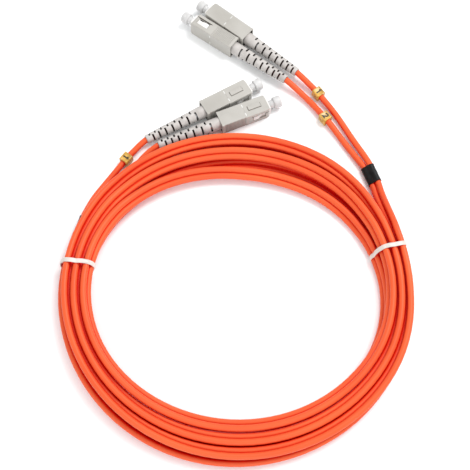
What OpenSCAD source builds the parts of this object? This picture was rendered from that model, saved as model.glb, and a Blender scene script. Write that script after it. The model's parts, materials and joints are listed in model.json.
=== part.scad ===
// Duplex multimode patch cord: a coiled zipcord with two push-pull plugs at each end.
// Millimetres, +Z up. The cord lies on z = 0, and the origin is the bottom centre of the four plugs.

/* [Cord] */
// Diameter of one round jacket
jacket_d = 3; // [2.8:0.1:3.1]
// Distance between the two jackets of the zipcord
lobe_pitch = 3.1; // [3.1:0.05:3.2]
// Turns of the coil, a whole number of 24ths
coil_turns = 5.625; // [5.625:1:6.625]
// Half width of the coil at the middle of its turns
coil_half_w = 72.6; // [71.1:0.5:74.6]
// Half depth of the coil at the middle of its turns
coil_half_l = 69.8; // [68.8:0.2:71.2]
// Step from turn to turn at the left side
pitch_side = 4.7; // [4.7:0.1:5.1]
// Step from turn to turn at the right side, where the turns stand steeper
pitch_right = 3.6; // [3.6:0.1:4]
// Step from turn to turn at the near left, where they stand steeper too
pitch_left = 4.1; // [4.1:0.1:4.5]
// Step from turn to turn at the loose far end
pitch_far = 7.8; // [7:0.1:8]
// Step from turn to turn at the near end
pitch_near = 5.9; // [5.9:0.1:6.5]
// Air between the two layers
layer_gap = 0.5; // [0.5:0.1:0.8]
// How far the lower layer lies nearer than the upper one, at the far end
drop_far = 3.6; // [3.2:0.1:4]
// The same at the near end
drop_near = 2; // [1.8:0.1:2.4]

/* [Lay of the plugs] */
// Distance in depth between the fronts of the two pairs of plugs
pairs_apart = 46.6; // [45.6:0.2:47.6]
// Distance sideways between the fronts of the two pairs
pairs_aside = 19.2; // [18.4:0.2:20]
// Air between the two plugs of the far pair
beside_a = 2.15; // [1.8:0.1:2.5]
// How far the second plug of the far pair lies in front of the first
ahead_a = 1.3; // [1:0.1:1.8]
// Air between the two plugs of the near pair
beside_b = 3.7; // [3.4:0.1:4]
// How far the second plug of the near pair lies in front of the first
ahead_b = 3.2; // [2.8:0.1:3.6]

/* [Ties and sleeves] */
// Thickness of a tie's strap
tie_t = 0.5; // [0.4:0.1:0.6]
// Width of a tie's strap
tie_w = 2; // [1.6:0.1:2.4]
// Length of a split sleeve
sleeve_l = 9.3; // [8:0.1:10]
// Wall of a split sleeve
sleeve_wall = 0.3; // [0.2:0.05:0.35]
// Length of a leg marker
marker_l = 4.6; // [4:0.1:5]
// Width of a leg marker across the cord
marker_w = 5; // [4.8:0.1:5.2]
// Height of a leg marker
marker_h = 4.8; // [4.7:0.05:4.9]

/* [Grip] */
// Length of the push-pull grip
grip_l = 25.2; // [25:0.1:26]
// Width of the grip across its wide faces
grip_w = 9; // [8.8:0.1:9.2]
// Height of the grip between its wide faces
grip_h = 7.4; // [7.3:0.1:7.6]
// Travel of the grip when it is pulled back
grip_travel = 1.5; // [1:0.1:1.8]
// Length of the key on the grip
key_l = 6.5; // [6:0.1:7]
// Width of the key
key_w = 2.3; // [2.1:0.1:2.5]
// Height of the key
key_h = 0.5; // [0.4:0.05:0.6]
// Distance from the grip's front to the key
key_from = 3.5; // [3:0.1:4]
// Length of the latch window in each narrow side
window_l = 6.9; // [6.7:0.1:7.2]
// Height of the latch window
window_h = 3.5; // [3.2:0.1:3.8]
// Distance from the grip's front to the window
window_from = 2; // [1.8:0.1:2.4]
// Length of the ribbed waist
waist_l = 11; // [10:0.5:11.5]
// Depth of the ribbed waist
waist_t = 0.4; // [0.3:0.05:0.45]
// Ribs on each waist
rib_n = 14; // [10:1:16]

/* [Plug frame] */
// Width of the inner frame
frame_w = 7; // [6.9:0.1:7.1]
// Height of the inner frame
frame_h = 5.6; // [5.5:0.1:5.7]
// How far the frame stands out of the grip
frame_out = 0.8; // [0.6:0.1:1]
// Diameter of the mouth around the ferrule
mouth_d = 4.8; // [4.7:0.1:4.9]
// Depth of that mouth
mouth_l = 7; // [6.8:0.1:7.2]
// Thickness of the wall behind the mouth
web_t = 2; // [1.8:0.1:2.2]
// Diameter of the spring chamber
chamber_d = 4.6; // [4.5:0.05:4.7]

/* [Ferrule] */
// Diameter of the ferrule
ferrule_d = 2.5; // [2.4:0.1:2.6]
// How far the ferrule's tip passes the frame
ferrule_out = 0.4; // [0.2:0.1:0.6]
// Travel of the ferrule against its spring
ferrule_travel = 1; // [0.8:0.1:1.2]
// Diameter of the flange
flange_d = 4.4; // [4.3:0.05:4.4]
// Thickness of the flange
flange_l = 2.1; // [2:0.1:2.4]
// Diameter of the tube behind the flange
flange_tube_d = 3.1; // [3:0.05:3.15]
// Length of the tube behind the flange
flange_tube_l = 2.2; // [2:0.1:2.4]
// Length of the spring as it is held
spring_l = 6.7; // [6.5:0.1:7]
// Diameter of the spring's wire
wire_d = 0.42; // [0.38:0.02:0.46]
// Mean diameter of the spring
spring_d = 3.85; // [3.8:0.02:3.88]
// Turns of the spring
spring_turns = 6; // [5:1:7]
// Diameter of the buffered fibre
buffer_d = 0.9; // [0.8:0.1:0.9]

/* [Backbone and crimp] */
// Length pressed into the frame
press_l = 3.3; // [3:0.1:3.5]
// Diameter of the collar
collar_d = 5.4; // [5.2:0.1:5.5]
// Thickness of the collar
collar_l = 1; // [0.8:0.1:1.2]
// Diameter of the barrel
barrel_d = 4.2; // [4.1:0.05:4.3]
// Length of the barrel
barrel_l = 1.6; // [1.4:0.1:1.8]
// Diameter of the crimp post
post_d = 3.2; // [3.1:0.05:3.25]
// Length of the crimp post
post_l = 6; // [5.5:0.1:6.5]
// Diameter of the fibre bore
fibre_bore_d = 1.2; // [1.1:0.05:1.3]
// Wall of the crimp sleeve
crimp_wall = 0.4; // [0.35:0.05:0.45]
// Length of the crimp sleeve on the jacket
crimp_tail_l = 3.6; // [3:0.1:4]

/* [Boot] */
// Length of the boot behind the grip
boot_l = 32; // [31:0.5:33]
// Diameter of the boot at the grip
boot_d = 6.5; // [6.3:0.1:6.6]
// Diameter of the boot's tail
boot_tail_d = 4.4; // [4.2:0.1:4.6]
// How far the boot reaches into the grip
boot_in = 1.6; // [1.5:0.1:1.7]
// Slots in each row
slot_n = 7; // [5:1:7]
// Width of a slot
slot_w = 0.7; // [0.5:0.1:0.9]
// Distance from the grip to the first slot
slot_from = 4.6; // [4:0.1:5]
// First step between two slots
slot_step = 4.6; // [4.2:0.1:4.6]
// How much each next step is shorter
slot_shrink = 0.28; // [0.24:0.02:0.32]

/* [Dust cap] */
// Diameter of the cap's head
cap_d = 5.9; // [5.7:0.1:6.1]
// Length of the cap's head
cap_head_l = 3.9; // [3.6:0.1:4.2]
// Diameter of the cap's stem
stem_d = 4; // [3.8:0.1:4.2]
// Reach of the cap in front of the grip
cap_out = 7.5; // [7.2:0.1:7.8]
// How far the stem reaches behind the grip's front
stem_in = 4.2; // [4:0.1:4.6]

/* [Fits] */
// Clearance of a sliding fit, each side
slide_gap = 0.05; // [0.03:0.01:0.08]
// Clearance of a loose fit, each side
loose_gap = 0.1; // [0.06:0.01:0.12]

/* [Hidden] */
ENDS = ["a1", "a2", "b1", "b2"];
PIECES = [
    "grip", "plug_frame", "ferrule", "ferrule_flange", "ferrule_spring", "backbone",
    "crimp_sleeve", "fibre_tube", "boot", "dust_cap", "leg", "leg_marker"
];
$fn = 48;

cord_orange = [0.96, 0.36, 0.2];
warm_grey = [0.76, 0.74, 0.7];
milk_white = [0.93, 0.93, 0.92];
nickel = [0.72, 0.72, 0.7];

// Stations along a plug, from the front of its grip backwards.
mouth_end = frame_out - mouth_l;
seat = mouth_end - web_t;
flange_front = seat - slide_gap;
flange_rear = flange_front - flange_l;
ferrule_rear = flange_front - flange_l * 0.7;
stop = flange_rear - spring_l;
frame_rear = stop - press_l;
collar_rear = frame_rear - collar_l;
barrel_rear = collar_rear - barrel_l;
post_rear = barrel_rear - post_l;
jacket_front = post_rear - slide_gap;
crimp_rear = jacket_front - crimp_tail_l;
boot_front = min(-grip_l + boot_in, barrel_rear - 2 * slide_gap);
boot_rear = -grip_l - boot_l;
pocket_front = boot_front + grip_travel + 4 * loose_gap;
tip = frame_out + ferrule_out;
waist_from = grip_l - waist_l - 1.4;

// Where each plug lies: the front centre of its grip, its heading and its roll. In the far pair the
// first plug lies on its key and the second on its side. The near pair lies flat, keys up.
flat_z = grip_h / 2;
fronts_mid = [2.7, 13.4];
HEADINGS = [140, 143.3, 30, 23];
ROLLS = [180, 90, 0, 0];
front_a = fronts_mid - [pairs_aside, -pairs_apart] / 2;
front_b = fronts_mid + [pairs_aside, -pairs_apart] / 2;
next_a = front_a + beside(HEADINGS[0], ahead_a, -grip_w / 2 - beside_a - grip_h / 2);
next_b = front_b + beside(HEADINGS[2], ahead_b, grip_w + beside_b);
PLUGS = [
    [[front_a.x, front_a.y, flat_z + key_h], HEADINGS[0], ROLLS[0]],
    [[next_a.x, next_a.y, grip_w / 2], HEADINGS[1], ROLLS[1]],
    [[front_b.x, front_b.y, flat_z], HEADINGS[2], ROLLS[2]],
    [[next_b.x, next_b.y, flat_z], HEADINGS[3], ROLLS[3]]
];

// The coil: its centre, where it starts, and how its turns are tilted.
coil_centre = [6.8, -114.4];
coil_start = 155;
rings_per_turn = 24;
turn_step = 360 / rings_per_turn;
roll_side = 50;
roll_right = 71;
roll_left = 60;
roll_far = 22;
roll_near = 30;
far_peak = 83;
right_peak = 15;
left_peak = 205;
draw_in = 1.7;
draw_over = 45;
jacket_r = jacket_d / 2;
lobe = lobe_pitch / 2;
tie_gap = 0.1;
tie_lift = tie_t + tie_gap;
tie_left_at = 173;
tie_right_at = 13;
coil_end = round(coil_turns * rings_per_turn);
half_turns = coil_turns / 2;

// The zipcord's tail behind the coil, then the sleeve that it enters: [point, normal angle, roll].
sleeve_a_normal = 20;
sleeve_a_roll = 30;
sleeve_a_mid = [71.1, -57.3, jacket_r + sleeve_wall + slide_gap + lobe * sin(sleeve_a_roll)];
TAIL = [
    [[77.3, -82.4, 8.1], 20, 48],
    [[75.5, -75.2, 5.9], 19, 40],
    [[74.0, -68.0, 3.4], 19, 33]
];

// The free legs from each boot to its sleeve. A marker sits in the middle of the step it names.
ROUTES = [
    [[45.4, -8.8, 2.6], [49.4, -14.2, 2.4], [53.4, -19.6, 1.8], [57.4, -26.0, 1.5],
     [61.2, -33.2, 1.5], [64.9, -40.2, 1.8], [68.2, -46.4, 2.7]],
    [[37.8, -10.3, 2.8], [43.3, -16, 1.9], [48.2, -22.6, 2.4], [52.4, -28.4, 2.4],
     [56.5, -34.6, 1.6], [60.6, -41.2, 1.5], [64.6, -47.4, 1.6]],
    [[-44.4, -45.8, 2.6], [-48.6, -51.4, 2.4], [-52.8, -57.2, 1.8], [-57.0, -63.2, 1.7],
     [-60.7, -69.4, 2.6]],
    [[-38.1, -47.2, 2.6], [-42.0, -52.8, 2.4], [-46.4, -59.0, 2.4], [-51.9, -65.9, 1.6],
     [-57.4, -72.7, 1.6]]
];
MARKER_STEP = [0, 2, 0, 1];

function ease(t) = let (c = min(max(t, 0), 1)) c * c * (3 - 2 * c);
function unit(v) = v / norm(v);
function heading(a) = [cos(a), sin(a), 0];
function beside(a, ahead, right) = ahead * [cos(a), sin(a)] + right * [sin(a), -cos(a)];
function flatten(lists) = [for (list = lists, item = list) item];
function turn_gap(a, b) = let (d = (a - b) % 360) min(abs(d), 360 - abs(d));

// How far each end or tight stretch of the coil differs from its sides, from 0 to 1.
function far_share(a) = pow(max(0, sin(a - far_peak + 90)), 2);
function near_share(a) = pow(max(0, -sin(a)), 2);
function right_share(a) = pow(max(0, cos(a - right_peak)), 4);
function left_share(a) = pow(max(0, cos(a - left_peak)), 4);
function blend(a, side, right, left, far, near) =
    side + (right - side) * right_share(a) + (left - side) * left_share(a)
    + (far - side) * far_share(a) + (near - side) * near_share(a);
function pitch_at(a) = blend(a, pitch_side, pitch_right, pitch_left, pitch_far, pitch_near);
function roll_at(a) = blend(a, roll_side, roll_right, roll_left, roll_far, roll_near);
function drop_at(a) = drop_near + (drop_far - drop_near) * (1 + sin(a)) / 2;

// The cord is lifted by the strap of a tie, and by the sleeve beside the left one.
function lift_at(a) = tie_lift * max(
    ease((28 - turn_gap(a, tie_left_at - 8)) / 8),
    ease((18 - turn_gap(a, tie_right_at)) / 8)
);

// The middle of the zipcord after some turns: in on the lower layer, out again on the upper one.
function rest_height(a) = jacket_r + lobe * sin(roll_at(a));
function climbed(turns) = ease((turns - half_turns) * 2 + 0.5);
function drawn_at(a) = draw_in * ease(1 - turn_gap(a, right_peak) / draw_over);
function coil_offset(turns) =
    let (a = coil_start + 360 * turns)
    pitch_at(a) * (abs(turns - half_turns) - half_turns / 2) - drawn_at(a);
function coil_point(turns) =
    let (
        a = coil_start + 360 * turns,
        up = climbed(turns),
        offset = coil_offset(turns)
    )
    [
        coil_centre.x + coil_half_w * cos(a) + offset * cos(a),
        coil_centre.y + coil_half_l * sin(a) + offset * sin(a) - drop_at(a) * (1 - up),
        rest_height(a) + up * (2 * rest_height(a) + layer_gap) + lift_at(a)
    ];

// A frame is [point, direction of the cord's width, direction of its thickness].
function frame_at(point, normal, roll) = [
    point,
    heading(normal) * cos(roll) + [0, 0, sin(roll)],
    -heading(normal) * sin(roll) + [0, 0, cos(roll)]
];
first_run = coil_point(1 / rings_per_turn) - coil_point(0);
sleeve_b_normal = atan2(first_run.y, first_run.x) - 90;
sleeve_b_roll = roll_at(coil_start + turn_step);
function coil_frame(i) =
    let (a = coil_start + i * turn_step, point = coil_point(i / rings_per_turn))
    i == 0 ? frame_at(point, sleeve_b_normal, sleeve_b_roll) : frame_at(point, a, roll_at(a));

// A tube along frames, with the same outline at each, closed at both ends.
function tube_ring(frame, outline) = [for (q = outline) frame[0] + q.x * frame[1] + q.y * frame[2]];
module tube(frames, outline) {
    n = len(outline);
    last = (len(frames) - 1) * n;
    sides = [
        for (i = [0 : len(frames) - 2], k = [0 : n - 1])
            let (a = i * n + k, b = i * n + (k + 1) % n)
            each [[a, a + n, b], [b, a + n, b + n]]
    ];
    caps = [for (k = [1 : n - 2]) each [[0, k, k + 1], [last, last + k + 1, last + k]]];
    polyhedron(flatten([for (f = frames) tube_ring(f, outline)]), concat(sides, caps));
}
function round_outline(d, n) = [for (k = [0 : n - 1]) d / 2 * [cos(360 * k / n), sin(360 * k / n)]];

// Frames along a route of points, square to it, for a round tube.
function along(points, i) = unit(
    points[min(i + 1, len(points) - 1)] - points[i] == [0, 0, 0]
        ? points[i] - points[i - 1]
        : i == 0 ? points[1] - points[0]
        : unit(points[i + 1] - points[i]) + unit(points[i] - points[i - 1])
);
function route_frames(points) = [
    for (i = [0 : len(points) - 1])
        let (t = along(points, i), across = unit(cross([0, 0, 1], t)))
        [points[i], across, cross(across, t)]
];

// A point on a plug's axis, and the leg's whole route from the crimp post to the sleeve.
function plug_point(k, x) = PLUGS[k][0] + x * heading(PLUGS[k][1]);
sleeve_b_frame = coil_frame(0);
sleeve_a_frame = frame_at(sleeve_a_mid, sleeve_a_normal, sleeve_a_roll);
sleeve_a_along = heading(sleeve_a_normal + 90);
function sleeve_way(k) = k < 2 ? sleeve_a_along : heading(sleeve_b_normal - 90);
function leg_root(k) =
    let (frame = k < 2 ? sleeve_a_frame : sleeve_b_frame, side = k % 2 == 0 ? 1 : -1)
    frame[0] + side * lobe * frame[1] + slide_gap * sleeve_way(k);
function leg_points(k) = concat(
    [plug_point(k, jacket_front), plug_point(k, boot_rear), plug_point(k, boot_rear - 1.2 * jacket_d)],
    ROUTES[k],
    [leg_root(k) + sleeve_l * 0.6 * sleeve_way(k), leg_root(k)]
);
zip_outline = [
    [lobe + jacket_r, 0], [lobe, jacket_r], [-lobe, jacket_r],
    [-lobe - jacket_r, 0], [-lobe, -jacket_r], [lobe, -jacket_r]
];
coil_frames = concat(
    [for (i = [0 : coil_end]) coil_frame(i)],
    [for (t = TAIL) frame_at(t[0], t[1], t[2])],
    [frame_at(sleeve_a_mid - sleeve_l / 2 * sleeve_a_along, sleeve_a_normal, sleeve_a_roll), sleeve_a_frame]
);

// The least air between turns: each section's middle line is a short segment, and the jacket stands
// jacket_r off it all round.
function to_segment(p, a, b) =
    let (t = min(max((p - a) * (b - a) / ((b - a) * (b - a)), 0), 1)) norm(p - a - t * (b - a));
function edge(frame, side) = frame[0] + side * lobe * frame[1];
function air(f, g) = min([
    for (s = [-1, 1]) min(
        to_segment(edge(f, s), edge(g, -1), edge(g, 1)),
        to_segment(edge(g, s), edge(f, -1), edge(f, 1))
    )
]) - jacket_d;
function lobe_air(p, f, g) = min([for (s = [-1, 1]) to_segment(p, edge(f, s), edge(g, s))]) - jacket_d;
function least_air() =
    let (
        last = len(coil_frames) - 1,
        turns = [
            for (i = [1 : coil_end - rings_per_turn], j = [i + rings_per_turn : rings_per_turn : coil_end])
                air(coil_frames[i], coil_frames[j])
        ],
        tail = [
            for (i = [coil_end : last], j = [0 : coil_end - rings_per_turn / 2], s = [-1, 1])
                lobe_air(edge(coil_frames[i], s), coil_frames[j], coil_frames[j + 1])
        ]
    )
    min(concat(turns, tail));
function path_length(points) = len(points) < 2 ? 0
    : [for (i = [0 : len(points) - 2]) norm(points[i + 1] - points[i])] * [for (i = [0 : len(points) - 2]) 1];

// A round piece on the plug's axis, from its outline of [station, radius].
module turned(outline) {
    rotate([0, 90, 0]) rotate_extrude() polygon([for (q = outline) [q[1], q[0]]]);
}
module rod(from, to, d) {
    translate([to, 0, 0]) rotate([0, 90, 0]) cylinder(h = from - to, d = d);
}
module block(from, to, w, h) {
    translate([to, -w / 2, -h / 2]) cube([from - to, w, h]);
}
module rounded_rect(w, h, r) {
    square([w - 2 * r, h], center = true);
    square([w, h - 2 * r], center = true);
    for (x = [-1, 1], y = [-1, 1]) translate([x * (w / 2 - r), y * (h / 2 - r)]) circle(r);
}
module place_plug(k) {
    translate(PLUGS[k][0]) rotate([0, 0, PLUGS[k][1]]) rotate([PLUGS[k][2], 0, 0]) children();
}

// The push-pull grip, with its key up, its latch windows and its ribbed waist.
module grip() {
    edge_r = 0.5;
    rib_step = (waist_l - 1) / rib_n;
    color(warm_grey) {
        difference() {
            translate([-grip_l, 0, 0]) rotate([90, 0, 90]) linear_extrude(grip_l)
                rounded_rect(grip_w, grip_h, edge_r);
            block(1, -grip_l - 1, frame_w + 2 * slide_gap, frame_h + 2 * slide_gap);
            block(pocket_front, -grip_l - 1, grip_w - 2 * waist_t - 0.9, boot_d + 2 * loose_gap);
            block(-window_from, -window_from - window_l, grip_w + 1, window_h);
            for (side = [-1, 1]) difference() {
                translate([0, side * grip_w / 2, 0])
                    block(-waist_from, -waist_from - waist_l, 2 * waist_t, grip_h + 1);
                for (i = [1 : rib_n]) translate([0, side * (grip_w / 2 - waist_t), 0])
                    block(
                        -waist_from - 0.5 - (i - 0.75) * rib_step,
                        -waist_from - 0.5 - (i - 0.25) * rib_step,
                        1.5 * waist_t, grip_h
                    );
            }
            for (side = [-1, 1], face = [-1, 1])
                translate([0, side * (grip_w / 2 - 2), face * (grip_h / 2)])
                    block(-waist_from + 0.9, -waist_from + 0.4, 1.8, 0.3);
        }
        translate([0, 0, grip_h / 2 + key_h / 2 - 0.05])
            block(-key_from, -key_from - key_l, key_w, key_h + 0.1);
    }
}

// The inner frame: the mouth round the ferrule, the spring chamber and the latches in the windows.
module plug_frame() {
    latch_front = -window_from - grip_travel - loose_gap;
    latch_rear = -window_from - window_l + 3 * loose_gap;
    latch_top = grip_w / 2 - 0.15;
    color(milk_white) {
        difference() {
            block(frame_out, frame_rear, frame_w, frame_h);
            rod(frame_out + 1, mouth_end, mouth_d);
            rod(0, frame_rear - 1, ferrule_d + 2 * slide_gap);
            rod(seat, frame_rear - 1, chamber_d);
        }
        for (side = [0, 1]) mirror([0, side, 0])
            translate([0, 0, -window_h / 2 + loose_gap]) linear_extrude(window_h - 2 * loose_gap)
                polygon([
                    [latch_front, frame_w / 2 - 0.1], [latch_front - 2.6, latch_top],
                    [latch_rear, latch_top], [latch_rear, frame_w / 2 - 0.1]
                ]);
    }
}

// The ceramic ferrule, chamfered at its tip.
module ferrule() {
    r = ferrule_d / 2;
    chamfer = 0.3;
    color("white") turned([
        [tip, 0], [tip, r - chamfer], [tip - chamfer, r], [ferrule_rear, r], [ferrule_rear, 0]
    ]);
}

// The metal flange that holds the ferrule, with its tube inside the spring.
module ferrule_flange() {
    color(nickel) turned([
        [flange_front, ferrule_d / 2], [flange_front, flange_d / 2], [flange_rear, flange_d / 2],
        [flange_rear, flange_tube_d / 2], [flange_rear - flange_tube_l, flange_tube_d / 2],
        [flange_rear - flange_tube_l, fibre_bore_d / 2], [ferrule_rear, fibre_bore_d / 2],
        [ferrule_rear, ferrule_d / 2]
    ]);
}

// The spring behind the flange, wound round the plug's axis.
module ferrule_spring() {
    curl_rings = 8;
    run = spring_l - wire_d - 2 * slide_gap;
    count = spring_turns * curl_rings;
    r = spring_d / 2;
    frames = [
        for (i = [0 : count]) let (a = 360 * i / curl_rings)
            [
                [flange_rear - slide_gap - wire_d / 2 - run * i / count, r * cos(a), r * sin(a)],
                [0, cos(a), sin(a)],
                [-1, 0, 0]
            ]
    ];
    color("silver") tube(frames, round_outline(wire_d, 6));
}

// The stop body behind the spring, with the grooved post that the cord is crimped on.
module backbone() {
    groove = 0.15;
    groove_step = post_l / 6;
    color(nickel) turned(concat(
        [
            [stop, fibre_bore_d / 2], [stop, chamber_d / 2], [frame_rear, chamber_d / 2],
            [frame_rear, collar_d / 2], [collar_rear, collar_d / 2], [collar_rear, barrel_d / 2],
            [barrel_rear, barrel_d / 2], [barrel_rear, post_d / 2]
        ],
        [
            for (i = [0 : 4]) let (x = barrel_rear - (i + 0.5) * groove_step)
            each [
                [x, post_d / 2], [x, post_d / 2 - groove],
                [x - groove_step / 2, post_d / 2 - groove], [x - groove_step / 2, post_d / 2]
            ]
        ],
        [[post_rear, post_d / 2], [post_rear, fibre_bore_d / 2]]
    ));
}

// The ring that is crimped over the post and the jacket.
module crimp_sleeve() {
    post_in = post_d / 2 + slide_gap;
    jacket_in = jacket_r + slide_gap;
    color("silver") turned([
        [barrel_rear - slide_gap, post_in], [barrel_rear - slide_gap, post_in + crimp_wall],
        [jacket_front, post_in + crimp_wall], [jacket_front, jacket_in + crimp_wall],
        [crimp_rear, jacket_in + crimp_wall], [crimp_rear, jacket_in], [jacket_front, jacket_in],
        [jacket_front, post_in]
    ]);
}

// The buffered fibre inside the plug. It moves back with the ferrule.
module fibre_tube() {
    color("ivory") rod(ferrule_rear - slide_gap, post_rear + ferrule_travel + 2 * loose_gap, buffer_d);
}

// The bend-relief boot. Its slots cut through on two diagonals, half a step apart.
module boot() {
    crimp_r = post_d / 2 + slide_gap + crimp_wall + loose_gap;
    cord_hole_r = jacket_r + loose_gap;
    slot_open = jacket_d + 0.3;
    color(warm_grey) difference() {
        turned([
            [boot_front, crimp_r], [boot_front, boot_d / 2], [-grip_l, boot_d / 2],
            [boot_rear + 0.4, boot_tail_d / 2], [boot_rear, boot_tail_d / 2 - 0.3],
            [boot_rear, cord_hole_r], [crimp_rear - loose_gap, cord_hole_r],
            [crimp_rear - loose_gap, crimp_r]
        ]);
        for (row = [0, 1], i = [0 : slot_n - 1]) let (
            x = slot_from + i * slot_step - i * (i - 1) / 2 * slot_shrink
                + row * (slot_step - i * slot_shrink) / 2
        )
            rotate([row * 90 + 45, 0, 0]) block(-grip_l - x, -grip_l - x - slot_w, slot_open, 2 * boot_d);
    }
}

// The dust cap: a head outside, and a stem on the ferrule.
module dust_cap() {
    bore_r = ferrule_d / 2 + slide_gap;
    neck = cap_out - cap_head_l;
    soft = 0.5;
    color(milk_white) turned([
        [cap_out, 0], [cap_out, cap_d / 2 - soft], [cap_out - soft, cap_d / 2],
        [neck + soft, cap_d / 2], [neck, cap_d / 2 - soft], [neck, stem_d / 2],
        [-stem_in, stem_d / 2], [-stem_in, bore_r], [tip + 1.4, bore_r], [tip + 1.9, 0]
    ]);
}

// One leg of the split zipcord, from the crimp post to the middle of its sleeve.
module leg(k) {
    color(cord_orange) tube(route_frames(leg_points(k)), round_outline(jacket_d, 8));
}

// A clip-on marker round a leg.
module leg_marker(k) {
    from = ROUTES[k][MARKER_STEP[k]];
    to = ROUTES[k][MARKER_STEP[k] + 1];
    way = to - from;
    color("gold") translate((from + to) / 2)
        rotate([0, -atan2(way.z, norm([way.x, way.y])), atan2(way.y, way.x)])
            rotate([90, 0, 90]) linear_extrude(marker_l, center = true) difference() {
                rounded_rect(marker_w, marker_h, 0.8);
                circle(jacket_r + loose_gap);
            }
}

// The zipcord: six passes in two layers, then the tail that leaves over the right side.
module cord_coil() {
    color(cord_orange) tube(coil_frames, zip_outline);
    echo(least_air = least_air(), coil_m = path_length([for (f = coil_frames) f[0]]) / 1000);
    echo(leg_m = [for (k = [0 : 3]) path_length(leg_points(k)) / 1000]);
}

// A heat-shrunk sleeve where the zipcord splits.
module split_sleeve(middle, normal, roll) {
    inner_r = jacket_r + slide_gap;
    color([0.1, 0.1, 0.1]) translate(middle) rotate([0, 0, normal]) rotate([0, -roll, 0])
        rotate([90, 0, 0]) linear_extrude(sleeve_l, center = true) difference() {
            stadium(inner_r + sleeve_wall);
            stadium(inner_r);
        }
}
module stadium(r) {
    square([lobe_pitch, 2 * r], center = true);
    for (side = [-1, 1]) translate([side * lobe, 0]) circle(r);
}

// A tie: a strap drawn tight round all the passes that cross its angle.
module tie(a) {
    first = (a - coil_start + 360) % 360 / 360;
    passes = [for (turns = [first : 1 : coil_turns]) turns];
    // A straight run of the faceted cord lies inside the true curve between two rings.
    function chord_frame(turns) =
        let (
            i = floor(turns * rings_per_turn),
            share = turns * rings_per_turn - i,
            f = coil_frames[i],
            g = coil_frames[i + 1]
        )
        [f[0] + share * (g[0] - f[0]), unit(f[1] + share * (g[1] - f[1]))];
    function in_plane(p) = [(p - [coil_centre.x, coil_centre.y, 0]) * heading(a), p.z];
    module wrap(r) {
        hull() for (turns = passes, side = [-1, 1])
            translate(in_plane(edge(chord_frame(turns), side))) circle(r, $fn = 32);
    }
    color("white") translate([coil_centre.x, coil_centre.y, 0]) rotate([0, 0, a]) rotate([90, 0, 0])
        linear_extrude(tie_w, center = true) difference() {
            wrap(jacket_r + tie_gap + tie_t);
            wrap(jacket_r + tie_gap);
        }
}

for (k = [0 : 3]) {
    place_plug(k) grip();
    place_plug(k) plug_frame();
    place_plug(k) ferrule();
    place_plug(k) ferrule_flange();
    place_plug(k) ferrule_spring();
    place_plug(k) backbone();
    place_plug(k) crimp_sleeve();
    place_plug(k) fibre_tube();
    place_plug(k) boot();
    place_plug(k) dust_cap();
    leg(k);
    leg_marker(k);
}
cord_coil();
split_sleeve(sleeve_a_mid, sleeve_a_normal, sleeve_a_roll);  // split_sleeve_a
split_sleeve(sleeve_b_frame[0], sleeve_b_normal, sleeve_b_roll);  // split_sleeve_b
tie(tie_left_at);  // tie_left
tie(tie_right_at);  // tie_right
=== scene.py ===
# %% [markdown]
# # A duplex patch cord, dressed over its solids
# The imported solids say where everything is. This script puts the finer piece over each of them: the
# zipcord as a true figure of eight, moulded plugs with soft edges, and materials with some life in them.

# %% Load the frame
import json
import math

import bmesh
import bpy
import numpy as np
from mathutils import Matrix, Vector


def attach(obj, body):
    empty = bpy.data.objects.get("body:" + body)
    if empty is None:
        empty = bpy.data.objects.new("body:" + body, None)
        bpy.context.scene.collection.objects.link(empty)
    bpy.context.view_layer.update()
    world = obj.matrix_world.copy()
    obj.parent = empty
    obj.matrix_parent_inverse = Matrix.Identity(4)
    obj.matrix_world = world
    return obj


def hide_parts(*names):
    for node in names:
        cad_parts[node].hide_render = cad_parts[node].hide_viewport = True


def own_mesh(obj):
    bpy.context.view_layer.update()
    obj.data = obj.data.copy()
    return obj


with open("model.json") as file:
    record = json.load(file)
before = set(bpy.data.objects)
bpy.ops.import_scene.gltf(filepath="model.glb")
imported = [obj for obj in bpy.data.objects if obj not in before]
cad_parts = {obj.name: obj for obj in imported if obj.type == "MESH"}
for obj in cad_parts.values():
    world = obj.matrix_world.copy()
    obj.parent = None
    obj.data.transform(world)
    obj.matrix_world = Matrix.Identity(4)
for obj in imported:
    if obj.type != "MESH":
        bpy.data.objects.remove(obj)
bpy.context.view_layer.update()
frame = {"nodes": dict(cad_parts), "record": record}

# %% [markdown]
# ## The view
# The cord lies on a table and is seen from high above, so the coil is almost a circle. A long lens keeps
# the far plugs as large as the near turns. Its place comes from the angle, the distance and the spot it
# looks at, which could also be had by tracking an empty.

# %% Camera
MM = 0.001
LOOK_AT = Vector((5.9, -87.5, 0)) * MM
DISTANCE = 445 * MM
ELEVATION = math.radians(66)
FOCAL_PX = 950
IMAGE_PX = 470
SENSOR = 36

camera_data = bpy.data.cameras.new("camera")
camera_data.sensor_width = SENSOR
camera_data.lens = SENSOR * FOCAL_PX / IMAGE_PX
camera = bpy.data.objects.new("camera", camera_data)
camera.location = LOOK_AT + DISTANCE * Vector((0, -math.cos(ELEVATION), math.sin(ELEVATION)))
camera.rotation_euler = (math.pi / 2 - ELEVATION, 0, 0)
bpy.context.scene.collection.objects.link(camera)
bpy.context.scene.camera = camera
print("lens", round(camera_data.lens, 1), "mm")

# %% [markdown]
# ## Colours and finishes
# Every finish here is moulded or extruded plastic, metal or ceramic. One flat colour for each would look
# like a toy, and painted image textures would be more work than these small pieces need. So each finish
# gets its colour from slow noise between two close tones, a roughness that wanders with it, and a fine
# bump. Flat numbers stay on the shader's own sockets, so an export keeps them.

# %% Noise and ramps
def new_material(name):
    """A new material with its nodes, its links and its shader."""
    material = bpy.data.materials.new(name)
    material.use_nodes = True
    nodes = material.node_tree.nodes
    return material, nodes, material.node_tree.links, nodes["Principled BSDF"]


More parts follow.
